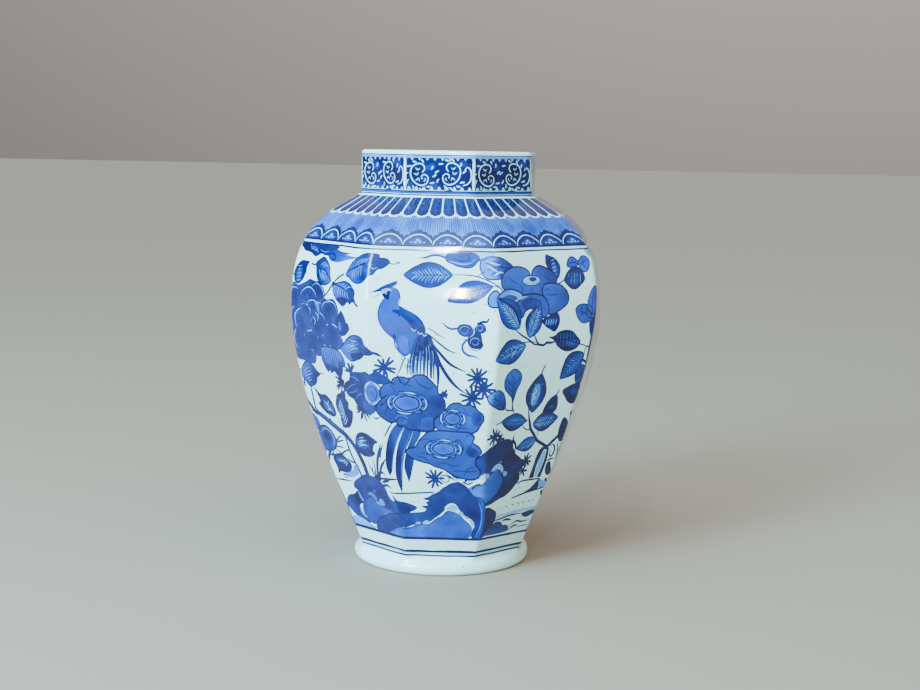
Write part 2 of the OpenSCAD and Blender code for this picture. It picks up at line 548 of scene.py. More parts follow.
def rim_leaf(k, points, heart, tone=0.88, light=0.3):
    """A dark leaf whose heart fades to a pale wash with fine veins."""
    blob(k, points, tone)
    p = np.asarray(heart, float)
    centre = p.mean(0)
    rx, ry = (p.max(0) - p.min(0)) / 2 * 1.15
    blob(k, heart, around(k, centre, rx, ry, light + 0.1, tone - 0.04))
    wide = rx > ry
    for i in range(5):
        f = (i - 2) / 2.6
        a = centre + np.array([f * rx, -0.55 * ry] if wide else [-0.55 * rx, f * ry])
        b = centre + np.array([(f + 0.15) * rx, 0.6 * ry] if wide else [0.6 * rx, (f + 0.15) * ry])
        stroke(k, [a, (a + b) / 2 + dice.uniform(-0.4, 0.4), b], 0.7, light, 0.3, 0.3, step=1.5)


def sprig(k, centre, size, rays=9, tone=0.82, first=0.0, sweep=360.0):
    """A star of short strokes."""
    for i in range(rays):
        a = math.radians(first + sweep * i / rays + dice.uniform(-8, 8))
        r = size * dice.uniform(0.75, 1.1)
        end = (centre[0] + r * math.cos(a), centre[1] + r * math.sin(a))
        stroke(k, [centre, ((centre[0] + end[0]) / 2, (centre[1] + end[1]) / 2), end], 2.4, tone, 0.6,
               0.75, step=3)
    blob(k, ellipse(centre, size * 0.25, size * 0.2, n=6), min(1, tone + 0.08), 1.5)


def flower_heart(k, centre, rx, ry):
    """The oval heart of a peony, inside a ring of small round petals."""
    n = 11
    for i in range(n):
        a = 360 * (i + 0.3) / n + dice.uniform(-5, 5)
        reach = 1.36 + 0.16 * abs(math.cos(math.radians(a)))
        spot = arc_points(centre, rx * reach, ry * reach, a, a + 1, 2)[0]
        small = ellipse(spot, rx * 0.3, ry * 0.3, n=8)
        blob(k, small, 0.46, 1.2)
        stroke(k, small, 0.9, 0.92, closed=True, step=1.2)
    for start, end, reach in [(-34, 30, 1.62), (150, 214, 1.58), (60, 100, 1.5), (238, 282, 1.5)]:
        stroke(k, arc_points(centre, rx * reach, ry * reach, start, end), 1.2, 0.22, 0.3, 0.3, step=1.5)
        stroke(k, arc_points(centre, rx * (reach + 0.14), ry * (reach + 0.14), start - 4, end + 4), 0.8,
               0.88, 0.4, 0.4, step=1.5)
    blob(k, ellipse(centre, rx * 1.22, ry * 1.24, n=22, wave=0.05, lobes=9), 0.34, 1.5)
    stroke(k, ellipse(centre, rx * 1.22, ry * 1.24, n=22, wave=0.05, lobes=9), 0.8, 0.85, closed=True,
           step=1.5)
    heart = ellipse(centre, rx, ry, n=24, wave=0.06, lobes=5, phase=0.6)
    blob(k, heart, around(k, centre, rx, ry, 0.56, 0.42), 1.5)
    stroke(k, heart, 1.3, 0.97, closed=True, step=1.5)
    for a in (60, 118):
        x = centre[0] + rx * math.cos(math.radians(a))
        z = centre[1] + ry * math.sin(math.radians(a))
        blob(k, ellipse((x, z), 1.5, 1.0, n=6), 0.9, 1.2)


def blade(k, left, right, tone):
    """A long blade between two edges that run the same way."""
    lay(k, np.vstack([flow(left), flow(right)[::-1]]), tone)


# ---------------------------------------------------------------- the flat with the bird
def bird(k):
    """The bird, from its body to its wing."""
    body = [(-36, 265.5), (-32, 265), (-28.5, 262), (-27, 256), (-28, 250.5), (-22, 246), (-15, 242),
            (-9, 237), (-6, 232), (-10, 227), (-15, 222), (-18, 215), (-19, 209), (-23, 206.5), (-27, 208),
            (-30, 213), (-32, 220), (-37, 224), (-42, 229), (-45.5, 235), (-46.5, 242), (-45, 249),
            (-42, 254), (-40.5, 256), (-42, 259), (-43, 261), (-40, 263.5)]
    blob(k, body, along(k, (-45, 240), (-14, 232), 0.48, 0.6))
    stroke(k, [(-40, 255), (-44, 249), (-45.6, 241), (-44, 233.5), (-40, 227.5), (-35, 223), (-32.5, 220)],
           0.8, 0.72)
    stroke(k, [(-44, 246), (-43.5, 238), (-40, 230.5), (-35, 225)], 0.6, 0.6)
    stroke(k, [(-35, 226), (-32.5, 221), (-31.5, 215), (-28, 209)], 1.3, 0.72)
    stroke(k, [(-32, 265.5), (-28, 262), (-26.6, 256), (-27.4, 250.5)], 0.9, 0.8, 0.3, 0.5)
    blob(k, [(-33, 226), (-31, 224), (-31, 221), (-33, 222)], 0.85, 1.2)
    blob(k, [(-28, 224), (-22, 224), (-20, 216), (-21, 209), (-26, 210), (-29, 217)], 0.46)
    blob(k, [(-52, 260), (-47, 262.5), (-41, 266), (-35, 268.5), (-29, 270.5), (-30, 267), (-35, 264.5),
             (-41, 262.5), (-46, 260.8)], 0.74)
    blob(k, [(-43, 262), (-40, 263.5), (-36, 264), (-34, 262), (-38, 260), (-42, 260)], 0.2, 1.2)
    for u in (-41, -38.5, -36):
        stroke(k, [(u, 264), (u + 1, 262.5), (u + 1.2, 260.5)], 0.7, 0.7)
    blob(k, [(-42, 258.5), (-39, 260.5), (-35, 262), (-36, 257), (-37, 254.3), (-40, 256.2)], 0.93, 1.2)
    blob(k, ellipse((-38.6, 259.6), 1.0, 0.7, n=6), 0.3, 1)
    stroke(k, [(-50.5, 255.4), (-46.5, 257.6), (-42.5, 259)], 0.9, 0.45)
    stroke(k, [(-52.5, 260), (-47, 261.2), (-42, 262)], 1.1, 0.88, 0.3, 0.8)
    blob(k, [(-28, 250), (-22, 247), (-14, 243), (-8, 237.5), (-5, 231), (-5.5, 227), (-9, 225),
             (-14, 228), (-18, 233), (-21, 237), (-26, 241), (-31, 243.5), (-34, 245.5), (-31, 246.5),
             (-27, 246.5)], along(k, (-22, 246), (-10, 228), 0.8, 0.92))
    blob(k, [(-25, 247.5), (-17, 243.5), (-11, 238.5), (-8, 233), (-13, 236), (-19, 241)], 0.72)
    for u, z in [(-29, 244), (-24, 242), (-19, 238), (-15, 233)]:
        stroke(k, [(u - 1, z), (u + 1.5, z - 1.8), (u + 1, z - 4)], 1.2, 0.96, 0.6, 0.3)
    for u, z in [(-17, 230), (-12, 227.5), (-8, 226)]:
        stroke(k, [(u, z + 1), (u + 1.8, z - 1.5), (u + 4, z)], 0.9, 0.25, 0.5, 0.5)


def tail(k):
    """The tail of the bird, feather by feather."""
    blob(k, [(-15, 228), (-18, 220), (-19, 211), (-17, 204), (-8, 203), (0, 205), (3, 211), (2, 219),
             (-3, 227)], 0.6)
    blob(k, [(-17, 205), (-20, 199), (-20, 191), (-15, 190), (-13, 198)], 0.3)
    feathers = [(-19.5, 196, 1.5), (-16.5, 192, 2.4), (-13, 190, 2.2), (-10.2, 190, 2.0), (-7, 190, 2.6),
                (-4, 189, 2.0), (-0.8, 188, 3.0), (1.6, 187, 1.8)]
    for i, (u, z, wide) in enumerate(feathers):
        f = i / (len(feathers) - 1)
        top = (-12 + 11 * f, 226 - 2 * f)
        mid = (top[0] * 0.45 + u * 0.55 - 1.5 + 3.5 * f, 209)
        stroke(k, [top, mid, (u + 0.2, 198), (u, z)], wide, 0.93 if i % 3 else 0.8, 0.7, 0.55, step=3)
        stroke(k, [(top[0] + 0.9, 219), (mid[0] + 1.6, 208), (u + 1.7, 199)], 0.6, 0.3, 0.3, 0.4, step=4)
    for u, z, r in [(-5, 218, 3), (-9, 214, 2.4), (-3, 224, 2.8), (-13, 209, 2.2), (-6, 208, 2.2),
                    (0, 214, 2.2)]:
        blob(k, ellipse((u, z), r * 0.8, r, n=7), 0.97, 1.5)
    stroke(k, [(-3, 231.5), (1, 229.5), (6, 226), (12, 222.8)], 1.1, 0.8, 0.9, 0.3)
    stroke(k, [(-2, 226), (4, 221), (11, 215.5), (17, 212), (23, 210.6)], 1.6, 0.82, 0.7, 0.25)
    stroke(k, [(-1, 220), (5, 213), (11, 206), (17, 200.5), (24, 197), (30, 194.6)], 2.6, 0.85, 0.7, 0.2)
    stroke(k, [(-1, 222), (3.5, 213), (7.5, 203), (9.5, 196)], 1.2, 0.6, 0.7, 0.2)
    stroke(k, [(-3, 224), (2.6, 214), (3.4, 204), (3.2, 194)], 1.3, 0.7, 0.7, 0.2)
    stroke(k, [(0, 216), (5, 206), (10, 196), (17, 186), (24, 179.5), (32, 174.5)], 3.1, 0.82, 0.7, 0.25)
    stroke(k, [(0.5, 217), (4.4, 205), (5.6, 193), (5.2, 180)], 3.0, 0.85, 0.7, 0.5)
    stroke(k, [(-23, 206), (-25.5, 201), (-28, 195), (-31, 190)], 1.3, 0.72, 0.9, 0.5)
    stroke(k, [(-20, 204), (-21.5, 197), (-21.5, 190.5)], 1.3, 0.72, 0.9, 0.5)
    for u, z, r in [(-25, 205, 2.0), (-19.5, 203, 2.2), (-22, 198, 1.6), (-17.5, 196.5, 1.6)]:
        stroke(k, ellipse((u, z), r, r * 0.8, n=7), 0.6, 0.7, closed=True, step=1.2)


def spiral_cloud(k):
    """The curled ornament to the right of the bird."""
    blob(k,
         [(22, 231.5), (24, 235), (29, 236), (34, 234.5), (36.5, 230), (34, 226), (29, 224.8), (24, 227)],
         0.7)
    blob(k, [(36, 231), (39, 235), (42, 237.5), (46, 235), (47.3, 231), (44.5, 228.2), (40, 228)], 0.84)
    blob(k, [(32.5, 226), (38, 229.5), (43, 227.5), (44, 222), (45, 217.5), (42, 215), (36, 215),
             (32.5, 217.5), (31, 222)], 0.92)
    stroke(k, [(32, 219), (33, 215.6), (38, 213.6), (43, 215.2), (45.6, 219.5)], 0.8, 0.55)
    stroke(k, [(25, 230), (28, 233.4), (32.5, 231.5), (31.5, 227.6), (28, 228.5)], 1.0, 0.95)
    stroke(k, [(36.3, 234), (37, 229.5), (35.5, 226.5), (33, 224.5)], 0.8, 0.22)
    for centre, r in [((29, 230), 4.6), ((41.8, 232.2), 3.2), ((38, 220.5), 4.4)]:
        stroke(k, arc_points(centre, r, r * 0.85, 20, 200), 0.8, 0.36, 0.3, 0.3, step=1.5)
        stroke(k, arc_points(centre, r * 0.62, r * 0.52, 190, 400), 0.8, 0.4, 0.3, 0.3, step=1.5)
        stroke(k, arc_points(centre, r * 0.84, r * 0.7, 10, 220), 0.7, 0.98, 0.3, 0.3, step=1.5)
    stroke(k, [(10, 236.2), (13.5, 232.8), (18, 231.3), (24, 232.5)], 1.9, 0.72, 0.5, 0.9)
    stroke(k, [(39, 236), (43.5, 238), (47.5, 238.3), (49.3, 241.2)], 2.2, 0.86, 0.8, 0.5)
    stroke(k, [(31, 223), (27.2, 218), (27.5, 212.8), (32, 209.2), (37.5, 208.4), (42, 206)], 2.0, 0.66,
           0.9, 0.2)


def left_peony(k):
    """The large peony that the bird stands on."""
    wash = [(-37, 183), (-34, 187), (-28, 188.5), (-20, 187.5), (-14, 190.5), (-7, 190.5), (-2, 187),
            (2, 183), (5, 179), (5.5, 175), (8, 172.5), (11, 169), (12, 163), (10, 158), (4, 154),
            (1.5, 149), (2, 143), (-1, 140.5), (-8, 139.5), (-15, 140.5), (-22, 141), (-26, 143.5),
            (-31, 144), (-33, 147.5), (-38, 146.5), (-43, 149), (-47, 152), (-51, 157), (-50, 163),
            (-46, 168), (-47, 174), (-45, 179), (-41, 182)]
    edged(k, wash, along(k, (-20, 190), (-12, 142), 0.54, 0.68))
    blob(k, [(-2, 171), (3, 173.5), (9, 171), (11.6, 163), (8, 156.5), (1.5, 154), (-4, 158), (-4.5, 165)],
         around(k, (6, 163), 9, 11, 1.0, 0.68))
    blob(k, [(-32, 154), (-24, 154), (-22, 149), (-27, 145.5), (-33, 148)],
         around(k, (-28, 150), 6, 5, 0.68, 0.5))
    blob(k, [(-10, 152), (0, 152), (0, 142.5), (-8, 141.5), (-14, 144)],
         around(k, (-4, 146), 8, 6, 0.66, 0.52))
    strokes(k, [[(-31, 190), (-28, 184), (-24, 181.5)], [(-20, 187), (-22, 183), (-26, 180)],
                [(-37, 183), (-33, 181.5)], [(-46, 168), (-42, 170.5), (-40, 172)],
                [(-47, 162), (-43, 164)], [(-33, 147.5), (-31, 151)], [(8, 172), (10, 175), (9, 178)]],
            1.4, 0.93, 0.9, 0.3)
    strokes(k, [[(-45, 170), (-40, 163), (-43, 155), (-41, 151)],
                [(-35, 147), (-30, 151.5), (-23, 150), (-18, 144)],
                [(-16, 189), (-11, 182), (-3, 179), (1, 181)], [(-38, 181), (-33, 176), (-34, 172)],
                [(-12, 142), (-11, 150), (-6, 155)], [(-28, 187), (-22, 182), (-14, 179)]], 1.0, 0.82, 0.3,
            0.3)
    flower_heart(k, (-22.5, 165), 10.8, 6.4)
    sprig(k, (11, 174), 4.5, 6, 0.82)


def right_peony(k):
    """The smaller peony to the right of it."""
    wash = [(11, 158), (14, 162.5), (18, 166), (24, 167), (28, 165), (34, 165.5), (39, 163), (42, 160),
            (46, 157), (47, 152), (44, 147), (41, 142), (36, 139.5), (28, 138.8), (18, 139.5), (8, 141),
            (2, 144.5), (1.5, 149), (4, 153)]
    edged(k, wash, 0.54)
    blob(k, [(38, 159), (43, 158), (45.5, 153), (42, 146), (37, 148), (36, 154)],
         around(k, (42, 152), 6, 7, 0.95, 0.64))
    blob(k, [(4, 150), (8, 147), (7, 142.5), (3, 144)], 0.56)
    strokes(k, [[(9, 158), (12, 150), (9, 143)], [(28, 164), (31, 157), (38, 155)],
                [(20, 140), (26, 144), (34, 143)]], 0.9, 0.82, 0.3, 0.3)
    flower_heart(k, (18.5, 152.3), 6.8, 5.2)


def low_peony(k):
    """The peony below these two."""
    wash = [(-8, 136), (-4, 139.5), (6, 141), (20, 140.5), (34, 140), (38.5, 136), (37, 131), (42, 127.5),
            (44.5, 122), (40, 117), (38, 111), (42, 104), (38, 97), (27, 96), (15, 100), (8, 104.5),
            (0, 107), (-5, 109.5), (-12, 111), (-20, 114), (-26, 119), (-24, 123), (-17, 125), (-13, 131)]
    edged(k, wash, along(k, (0, 140), (10, 100), 0.5, 0.56))
    blob(k, [(30, 128), (37, 126), (42, 122), (37, 117), (31, 119)], around(k, (36, 122), 7, 6, 0.86, 0.62))
    stroke(k, [(-8, 136), (-4, 132), (6, 131.5), (14, 132)], 0.9, 0.88)
    stroke(k, [(14, 132), (19, 129), (22, 133), (27, 131)], 1.2, 0.9)
    stroke(k, [(30, 136), (35, 138.5), (37.5, 135)], 0.9, 0.9)
    stroke(k, [(37, 131), (34, 127), (31, 121)], 0.9, 0.9)
    stroke(k, [(40, 117), (34, 118.5), (31, 121)], 0.9, 0.8)
    stroke(k, [(-13, 131), (-5, 133)], 0.8, 0.75)
    strokes(k, [[(-16, 116), (-9, 115), (-4, 110)], [(2, 108), (8, 111), (18, 108), (26, 111)],
                [(26, 98), (30, 105), (38, 108)], [(24, 133), (28, 127), (27, 121)]], 0.9, 0.82, 0.3, 0.3)
    flower_heart(k, (9.5, 124), 9.8, 5.6)
    for start in (200, 232, 262, 290):
        stroke(k, arc_points((-7, 121), 4.5, 2.5, start, start + 24), 1.0, 0.92, 0.6, 0.6, step=1.5)
    stroke(k, [(14, 102), (22, 103.6), (32, 103.2), (41, 105)], 1.0, 0.88)
    stroke(k, [(12, 104), (16, 99.5), (22, 96.5), (34, 95.5)], 1.2, 0.85)


def left_cluster(k):
    """Small flowers and dark leaves that turn the front's left corner."""
    blob(k, [(-95, 172), (-92, 177), (-86, 181), (-84, 187), (-76, 189), (-68, 190), (-60, 191),
             (-56, 186), (-56, 160), (-62, 157), (-70, 156.5), (-78, 158.5), (-82, 163), (-89, 165)],
         along(k, (-90, 172), (-62, 176), 0.92, 0.8))
    strokes(k, [[(-92, 170), (-84, 175), (-76, 178)], [(-80, 162), (-74, 168), (-68, 170)],
                [(-84, 184), (-76, 183), (-70, 180)], [(-88, 168), (-80, 170), (-73, 174)]], 1.1, 0.5, 0.4,
            0.3)
    sprig(k, (-96, 177), 12, 8, 0.88, 110, 190)
    sprig(k, (-82, 188), 9, 6, 0.88, 60, 140)
    sprig(k, (-70, 156), 11.5, 8, 0.9, 170, 200)
    blob(k, [(-66, 180), (-62, 188), (-55, 190), (-50, 193), (-44, 190), (-39, 187.5), (-36.5, 183.5),
             (-41, 181), (-47, 181), (-56, 182)], 0.78)
    blob(k, [(-66, 166), (-60, 184), (-48, 181), (-45, 174), (-46, 168), (-50, 163), (-52, 156),
             (-60, 152), (-68, 156)], 0.72)
    blob(k, ellipse((-55, 172.5), 10, 10.5, n=16, wave=0.08, lobes=7), 0.42)
    for start, end in [(15, 75), (95, 160), (185, 250), (275, 340)]:
        stroke(k, arc_points((-55, 172.5), 9, 9.6, start, end), 1.3, 0.14, 0.4, 0.4, step=1.5)
        stroke(k, arc_points((-55, 172.5), 10.5, 11.2, start, end), 0.9, 0.9, 0.4, 0.4, step=1.5)
    blob(k, ellipse((-55, 172.5), 5.5, 6.5, n=12), around(k, (-55, 172.5), 6, 7, 0.56, 0.42))
    stroke(k, ellipse((-55, 172.5), 5.5, 6.5, n=12), 0.8, 0.92, closed=True)
    sprig(k, (-42, 196), 11, 11, 0.76)
    stroke(k, [(-47, 152), (-52, 149.5), (-56, 152)], 1.6, 0.85)


def front_reeds(k):
    """The long leaves that hang from the peonies, and the plants beside them."""
    blade(k, [(-33, 146), (-38.5, 139), (-43, 128), (-45.5, 115), (-46, 105), (-43.5, 96.5)],
          [(-25.5, 144), (-31, 134), (-36, 122), (-38.6, 110), (-40.5, 101), (-43, 96.5)],
          along(k, (-42, 120), (-35, 120), 0.92, 0.62))
    blade(k, [(-25.5, 144), (-29, 136), (-33.5, 124), (-36.5, 110), (-37.3, 95), (-33.8, 80.5)],
          [(-17.5, 141), (-21, 132), (-26, 121), (-29.5, 108), (-31.3, 95), (-33.2, 80.5)],
          along(k, (-34, 115), (-27, 117), 0.92, 0.66))
    blade(k, [(-17.5, 141), (-20, 134), (-24, 124), (-27.5, 113), (-28.6, 104), (-26, 91.5)],
          [(-10, 140), (-13, 133), (-18, 124), (-18.8, 113), (-21.5, 103), (-25.2, 91.5)],
          along(k, (-25, 112), (-19, 113), 0.88, 0.6))
    stroke(k, [(-29, 140), (-36, 122), (-40.5, 104)], 0.8, 0.3)
    stroke(k, [(-21, 137), (-29, 116), (-33, 92)], 0.8, 0.38)
    stroke(k, [(-36.5, 147), (-40, 142), (-43, 136.5), (-45.5, 133.5)], 1.6, 0.78, 0.4, 0.6)
    stroke(k, [(-46, 79.5), (-32, 79.8), (-18, 80.8), (-4, 82)], 1.7, 0.72, 0.8, 0.8)
    for u, z in [(-28, 72.3), (-26, 71.6), (-23.6, 72.4), (-19, 73.2)]:
        stroke(k, [(u - 0.8, z + 0.6), (u + 0.8, z - 0.4)], 0.9, 0.7)
    sprig(k, (-1, 95.5), 9.5, 10, 0.8)
    stroke(k, ellipse((8, 95.5), 4.2, 3.4, n=8), 1.0, 0.72, closed=True)
    strokes(k, [[(9, 101), (14, 97), (20, 93)], [(12, 102), (17, 97.5), (23, 94.5)],
                [(5, 99), (11, 98), (15, 95)]], 1.3, 0.82)
    blob(k, [(26, 92), (33, 97.5), (41, 99), (48, 104), (50, 119), (44, 119), (37, 114), (31, 109),
             (33, 103), (28, 99)], 0.66)
    strokes(k, [[(29, 107), (35, 112), (43, 118), (49, 121)], [(34, 104), (40, 104.5), (44, 107)],
                [(27, 95), (35, 95.5), (43, 99)], [(32, 86), (36, 90), (42, 92)],
                [(31, 110), (36, 110), (41, 112)], [(24, 93), (29, 91), (35, 94)]], 1.6, 0.92, 0.9, 0.2)
    blob(k, [(35, 108), (39, 109), (40, 106), (36, 105)], 0.25)


def front_rocks(k):
    """The dark rocks at the foot of the front flat."""
    peak = [(-36, 60), (-27, 61), (-20, 61), (-15, 62), (-12, 64), (-17.5, 67.5), (-11.5, 69),
            (-13.5, 71.5), (-9.5, 73), (-15.5, 75.5), (-10, 77), (-6, 80), (0, 82.5), (4, 86), (9, 89),
            (12, 91), (17, 92.5), (21, 93), (26, 90), (29, 86.5), (31, 82), (34, 79), (41, 76), (41, 60),
            (38, 45), (36, 36.6), (27, 36.6), (27, 44), (29, 50), (27, 55), (22, 58), (18, 62), (16, 66),
            (14, 70.5), (9, 71.3), (4, 67.5), (0, 61), (-5, 57), (-10, 53), (-18, 50), (-25, 49),
            (-33, 46), (-37, 48)]
    blob(k, peak, along(k, (-20, 60), (24, 76), 0.66, 0.82), 3)
    strokes(k, [[(-17.5, 67.5), (-10, 68.5)], [(-15.5, 75.5), (-8, 75.5)], [(-9, 73), (-13, 71.5)],
                [(-27, 61), (-18, 61.5), (-13, 63.5)]], 1.0, 0.95)
    blob(k, [(10, 88), (22, 89), (26, 82), (20, 76), (10, 78), (6, 83)],
         around(k, (17, 83), 10, 8, 0.86, 0.76))
    blob(k, [(22, 72), (32, 74), (36, 60), (32, 48), (29, 52), (24, 60)],
         around(k, (29, 62), 8, 14, 0.9, 0.8))
    blob(k, [(-12, 66), (2, 68), (3, 64), (-6, 58), (-16, 58)], around(k, (-5, 63), 12, 7, 0.78, 0.7))
    blob(k, [(34, 76), (37.5, 74), (36, 60), (33.6, 44), (31, 37), (34, 37), (38, 50), (40, 66), (40, 76)],
         0.56)
    stroke(k, [(36, 74), (36.4, 62), (34, 48), (30, 37)], 0.9, 0.35)


def front_bank(k):
    """The pale bank below the rocks, with its stones."""
    base = [(-45, 38), (-43, 43.5), (-38, 46), (-33, 45), (-28, 46), (-24, 48.5), (-18, 49.5), (-12, 49.5),
            (-9, 52), (-4, 56), (0, 58), (3, 61), (6, 63.5), (11, 62.5), (16, 60), (20, 55), (25, 50),
            (27, 46), (26.5, 41), (24, 36.4), (0, 36.2), (-40, 36.2)]
    blob(k, base, along(k, (-30, 40), (8, 52), 0.4, 0.5), 3)
    stroke(k, base[1:18], 1.0, 0.9, 0.6, 0.6)
    blob(k, [(4.8, 65.5), (8, 68.7), (12, 70), (15, 68.5), (15.5, 65), (12.5, 63), (9, 64)], 0.24)
    for points in [[(15.5, 63), (19, 63), (19.5, 59), (16.5, 60)],
                   [(20.5, 58.5), (23, 58.4), (23.5, 55.5), (21, 56.5)],
                   [(24.5, 55), (27, 54.5), (29, 50), (28.6, 46.5), (26.6, 50)],
                   [(-24, 51), (-21, 52.3), (-19, 50.6), (-22, 49.6)],
                   [(-17.5, 51.5), (-14, 54), (-11, 53.2), (-11.5, 50.8), (-15, 50.4)]]:
        blob(k, points, 0.26, 1.2)
    strokes(k, [[(21, 40), (25, 43), (26, 47)], [(20, 38), (24, 39.5)],
                [(-12, 50.5), (-11, 53), (-14, 54.4)]], 0.8, 0.9)
    blob(k, [(-44, 78), (-39, 72.5), (-34, 70.5), (-30, 67), (-27.5, 63), (-29, 60.8), (-35, 60),
             (-38, 62), (-42, 70)], 0.84)
    stroke(k, [(-39, 72.5), (-34, 70.5), (-30, 67), (-27.5, 63)], 1.0, 0.96)


def bird_flat(k):
    """Everything on a flat with the bird."""
    blob(k, [(-8, 296.5), (4, 292), (14, 290.5), (36, 289.5), (46, 291.5), (53, 294), (52, 296.6),
             (20, 296.8)], 0.22)
    stroke(k, [(-12.5, 290), (-6, 290.2), (0, 292.2), (6, 292.2), (13, 290)], 1.9, 0.68, 0.2, 0.9)
    stroke(k, [(36, 289), (42, 289.5), (48, 292), (53, 293)], 2.2, 0.5, 0.9, 0.3)
    edged(k, [(11.5, 291), (13, 287.5), (17, 286), (21, 284), (25, 283.2), (30, 282.5), (35, 284),
              (38, 287.5), (40, 291), (36, 294.5), (26, 296), (16, 295)], 0.56, 0.8, 1.0)
    stroke(k, [(14, 288), (20, 286.6), (26, 285.6), (33, 286.8), (36, 290)], 1.1, 0.28)
    stroke(k, [(17, 291), (22, 288.6), (29, 288.6), (32, 291.5), (28, 293.5)], 1.2, 0.75)
    stroke(k, [(30, 293), (34, 295), (38, 294)], 1.0, 0.8)
    leaf(k, (18, 276.5), (-24, 275.5), 21, 0.68, 0.2, 8, 0.0, fullest=0.95)
    stroke(k, [(17, 276.6), (28, 276.8), (38, 275.8), (48, 272.5), (56, 268.5), (62, 263.5)], 1.2, 0.78,
           0.5, 0.9)
    stroke(k, [(38, 275.8), (41, 277.5), (45, 280)], 1.0, 0.72)
    leaf(k, (52, 268), (13.5, 254.5), 17.5, 0.66, 0.2, 8, -1.5, fullest=0.95)
    stroke(k, [(50, 268), (54, 268.2), (58, 266.5)], 1.0, 0.75)
    spiral_cloud(k)
    tail(k)
    bird(k)
    left_cluster(k)
    for centre, size in [((40.5, 189.5), 10.5), ((46, 180), 11), ((35.5, 171.5), 11.5)]:
        sprig(k, centre, size, 11, 0.8)
    front_reeds(k)
    front_rocks(k)
    front_bank(k)
    left_peony(k)
    right_peony(k)
    low_peony(k)


# ---------------------------------------------------------------- the flat with the camellia
def camellia(k):
    """The large open camellia near the shoulder."""
    edged(k, [(-64.5, 251), (-66, 257), (-63, 262), (-58, 264.5), (-54, 258), (-56, 251)], 0.36)
    edged(k, [(-52, 267), (-52, 273), (-47, 279.5), (-39, 283), (-31, 283.5), (-24, 281.5), (-20, 277.5),
              (-22, 272), (-27, 270), (-30, 261), (-39, 264), (-48, 265)],
          along(k, (-50, 268), (-26, 280), 0.5, 0.42))
    edged(k, [(-18.5, 276), (-15, 281), (-9, 283.7), (-3, 282.5), (3, 279.5), (8, 276), (10, 271),
              (7, 267), (-1, 267), (-8, 268), (-12, 271), (-15, 275)],
          along(k, (-14, 276), (8, 273), 0.42, 0.66))
    blob(k, [(-30, 271), (-10, 271), (-7, 261), (-14, 258), (-28, 258.5), (-31, 262)], 0.46)
    edged(k, [(-8, 262), (-5, 267.5), (2, 268.5), (10, 267.8), (16, 265.5), (21, 261), (23.3, 256),
              (22, 250.5), (17, 247), (11, 244), (6, 242), (0, 242.5), (-3, 250), (-6, 257)],
          along(k, (-4, 262), (18, 250), 0.42, 0.56))
    edged(k, [(-38, 253), (-33, 258), (-24, 260.3), (-14, 260), (-6, 257.5), (-1.5, 252), (0, 244),
              (-5, 239.5), (-12, 244), (-20, 248), (-27, 246), (-30, 241), (-34, 243), (-37, 248)], 0.5)
    edged(k, [(-30, 253), (-24, 256), (-16, 255.6), (-10, 253), (-14, 249), (-22, 248), (-28, 249)], 0.62,
          0.75)
    edged(k, [(-58, 258), (-52, 263.5), (-44, 265.3), (-36, 263.5), (-30, 260), (-35, 255), (-40, 251),
              (-46, 253), (-53, 256)], 0.34, 0.85)
    blob(k, [(-53, 258), (-46, 260.5), (-38, 259.5), (-37, 256.5), (-44, 255.5)], 0.55)
    strokes(k, [[(-46, 262), (-38, 260), (-31, 256)], [(-44, 264), (-36, 261.5), (-29, 257)],
                [(-38, 255), (-32, 257.5), (-25, 258.5)]], 1.0, 0.18, 0.4, 0.4)
    strokes(k, [[(-33, 269), (-30, 265), (-30, 261)], [(-11, 270), (-9, 265), (-10, 261)],
                [(-6, 262), (-2, 264), (3, 261.5)], [(-5, 259), (4, 258.5), (14, 259)],
                [(-22, 262), (-21, 258), (-22, 254)], [(-32, 253), (-28, 255), (-24, 252)],
                [(-3, 246), (-8, 250), (-9, 254)], [(-20, 266), (-19, 262)],
                [(-5, 275), (2, 271), (9, 270)], [(-45, 276), (-40, 272), (-33, 269)]], 0.8, 0.78, 0.6,
            0.3)
    blob(k, ellipse((-19, 271.5), 9.4, 3.9, n=20, wave=0.08, lobes=9), 0.2, 1.2)
    stroke(k, ellipse((-19, 271.5), 9.4, 3.9, n=20, wave=0.08, lobes=9), 0.8, 0.85, closed=True, step=1.2)
    blob(k, ellipse((-17.5, 272.6), 4.2, 2.0, n=9), 0.66, 1.2)
    for i in range(8):
        x = -26 + 2 * i
        stroke(k, [(x, 268.8), (x + 0.4, 270.2)], 0.7, 0.72, 0.9, 0.5)


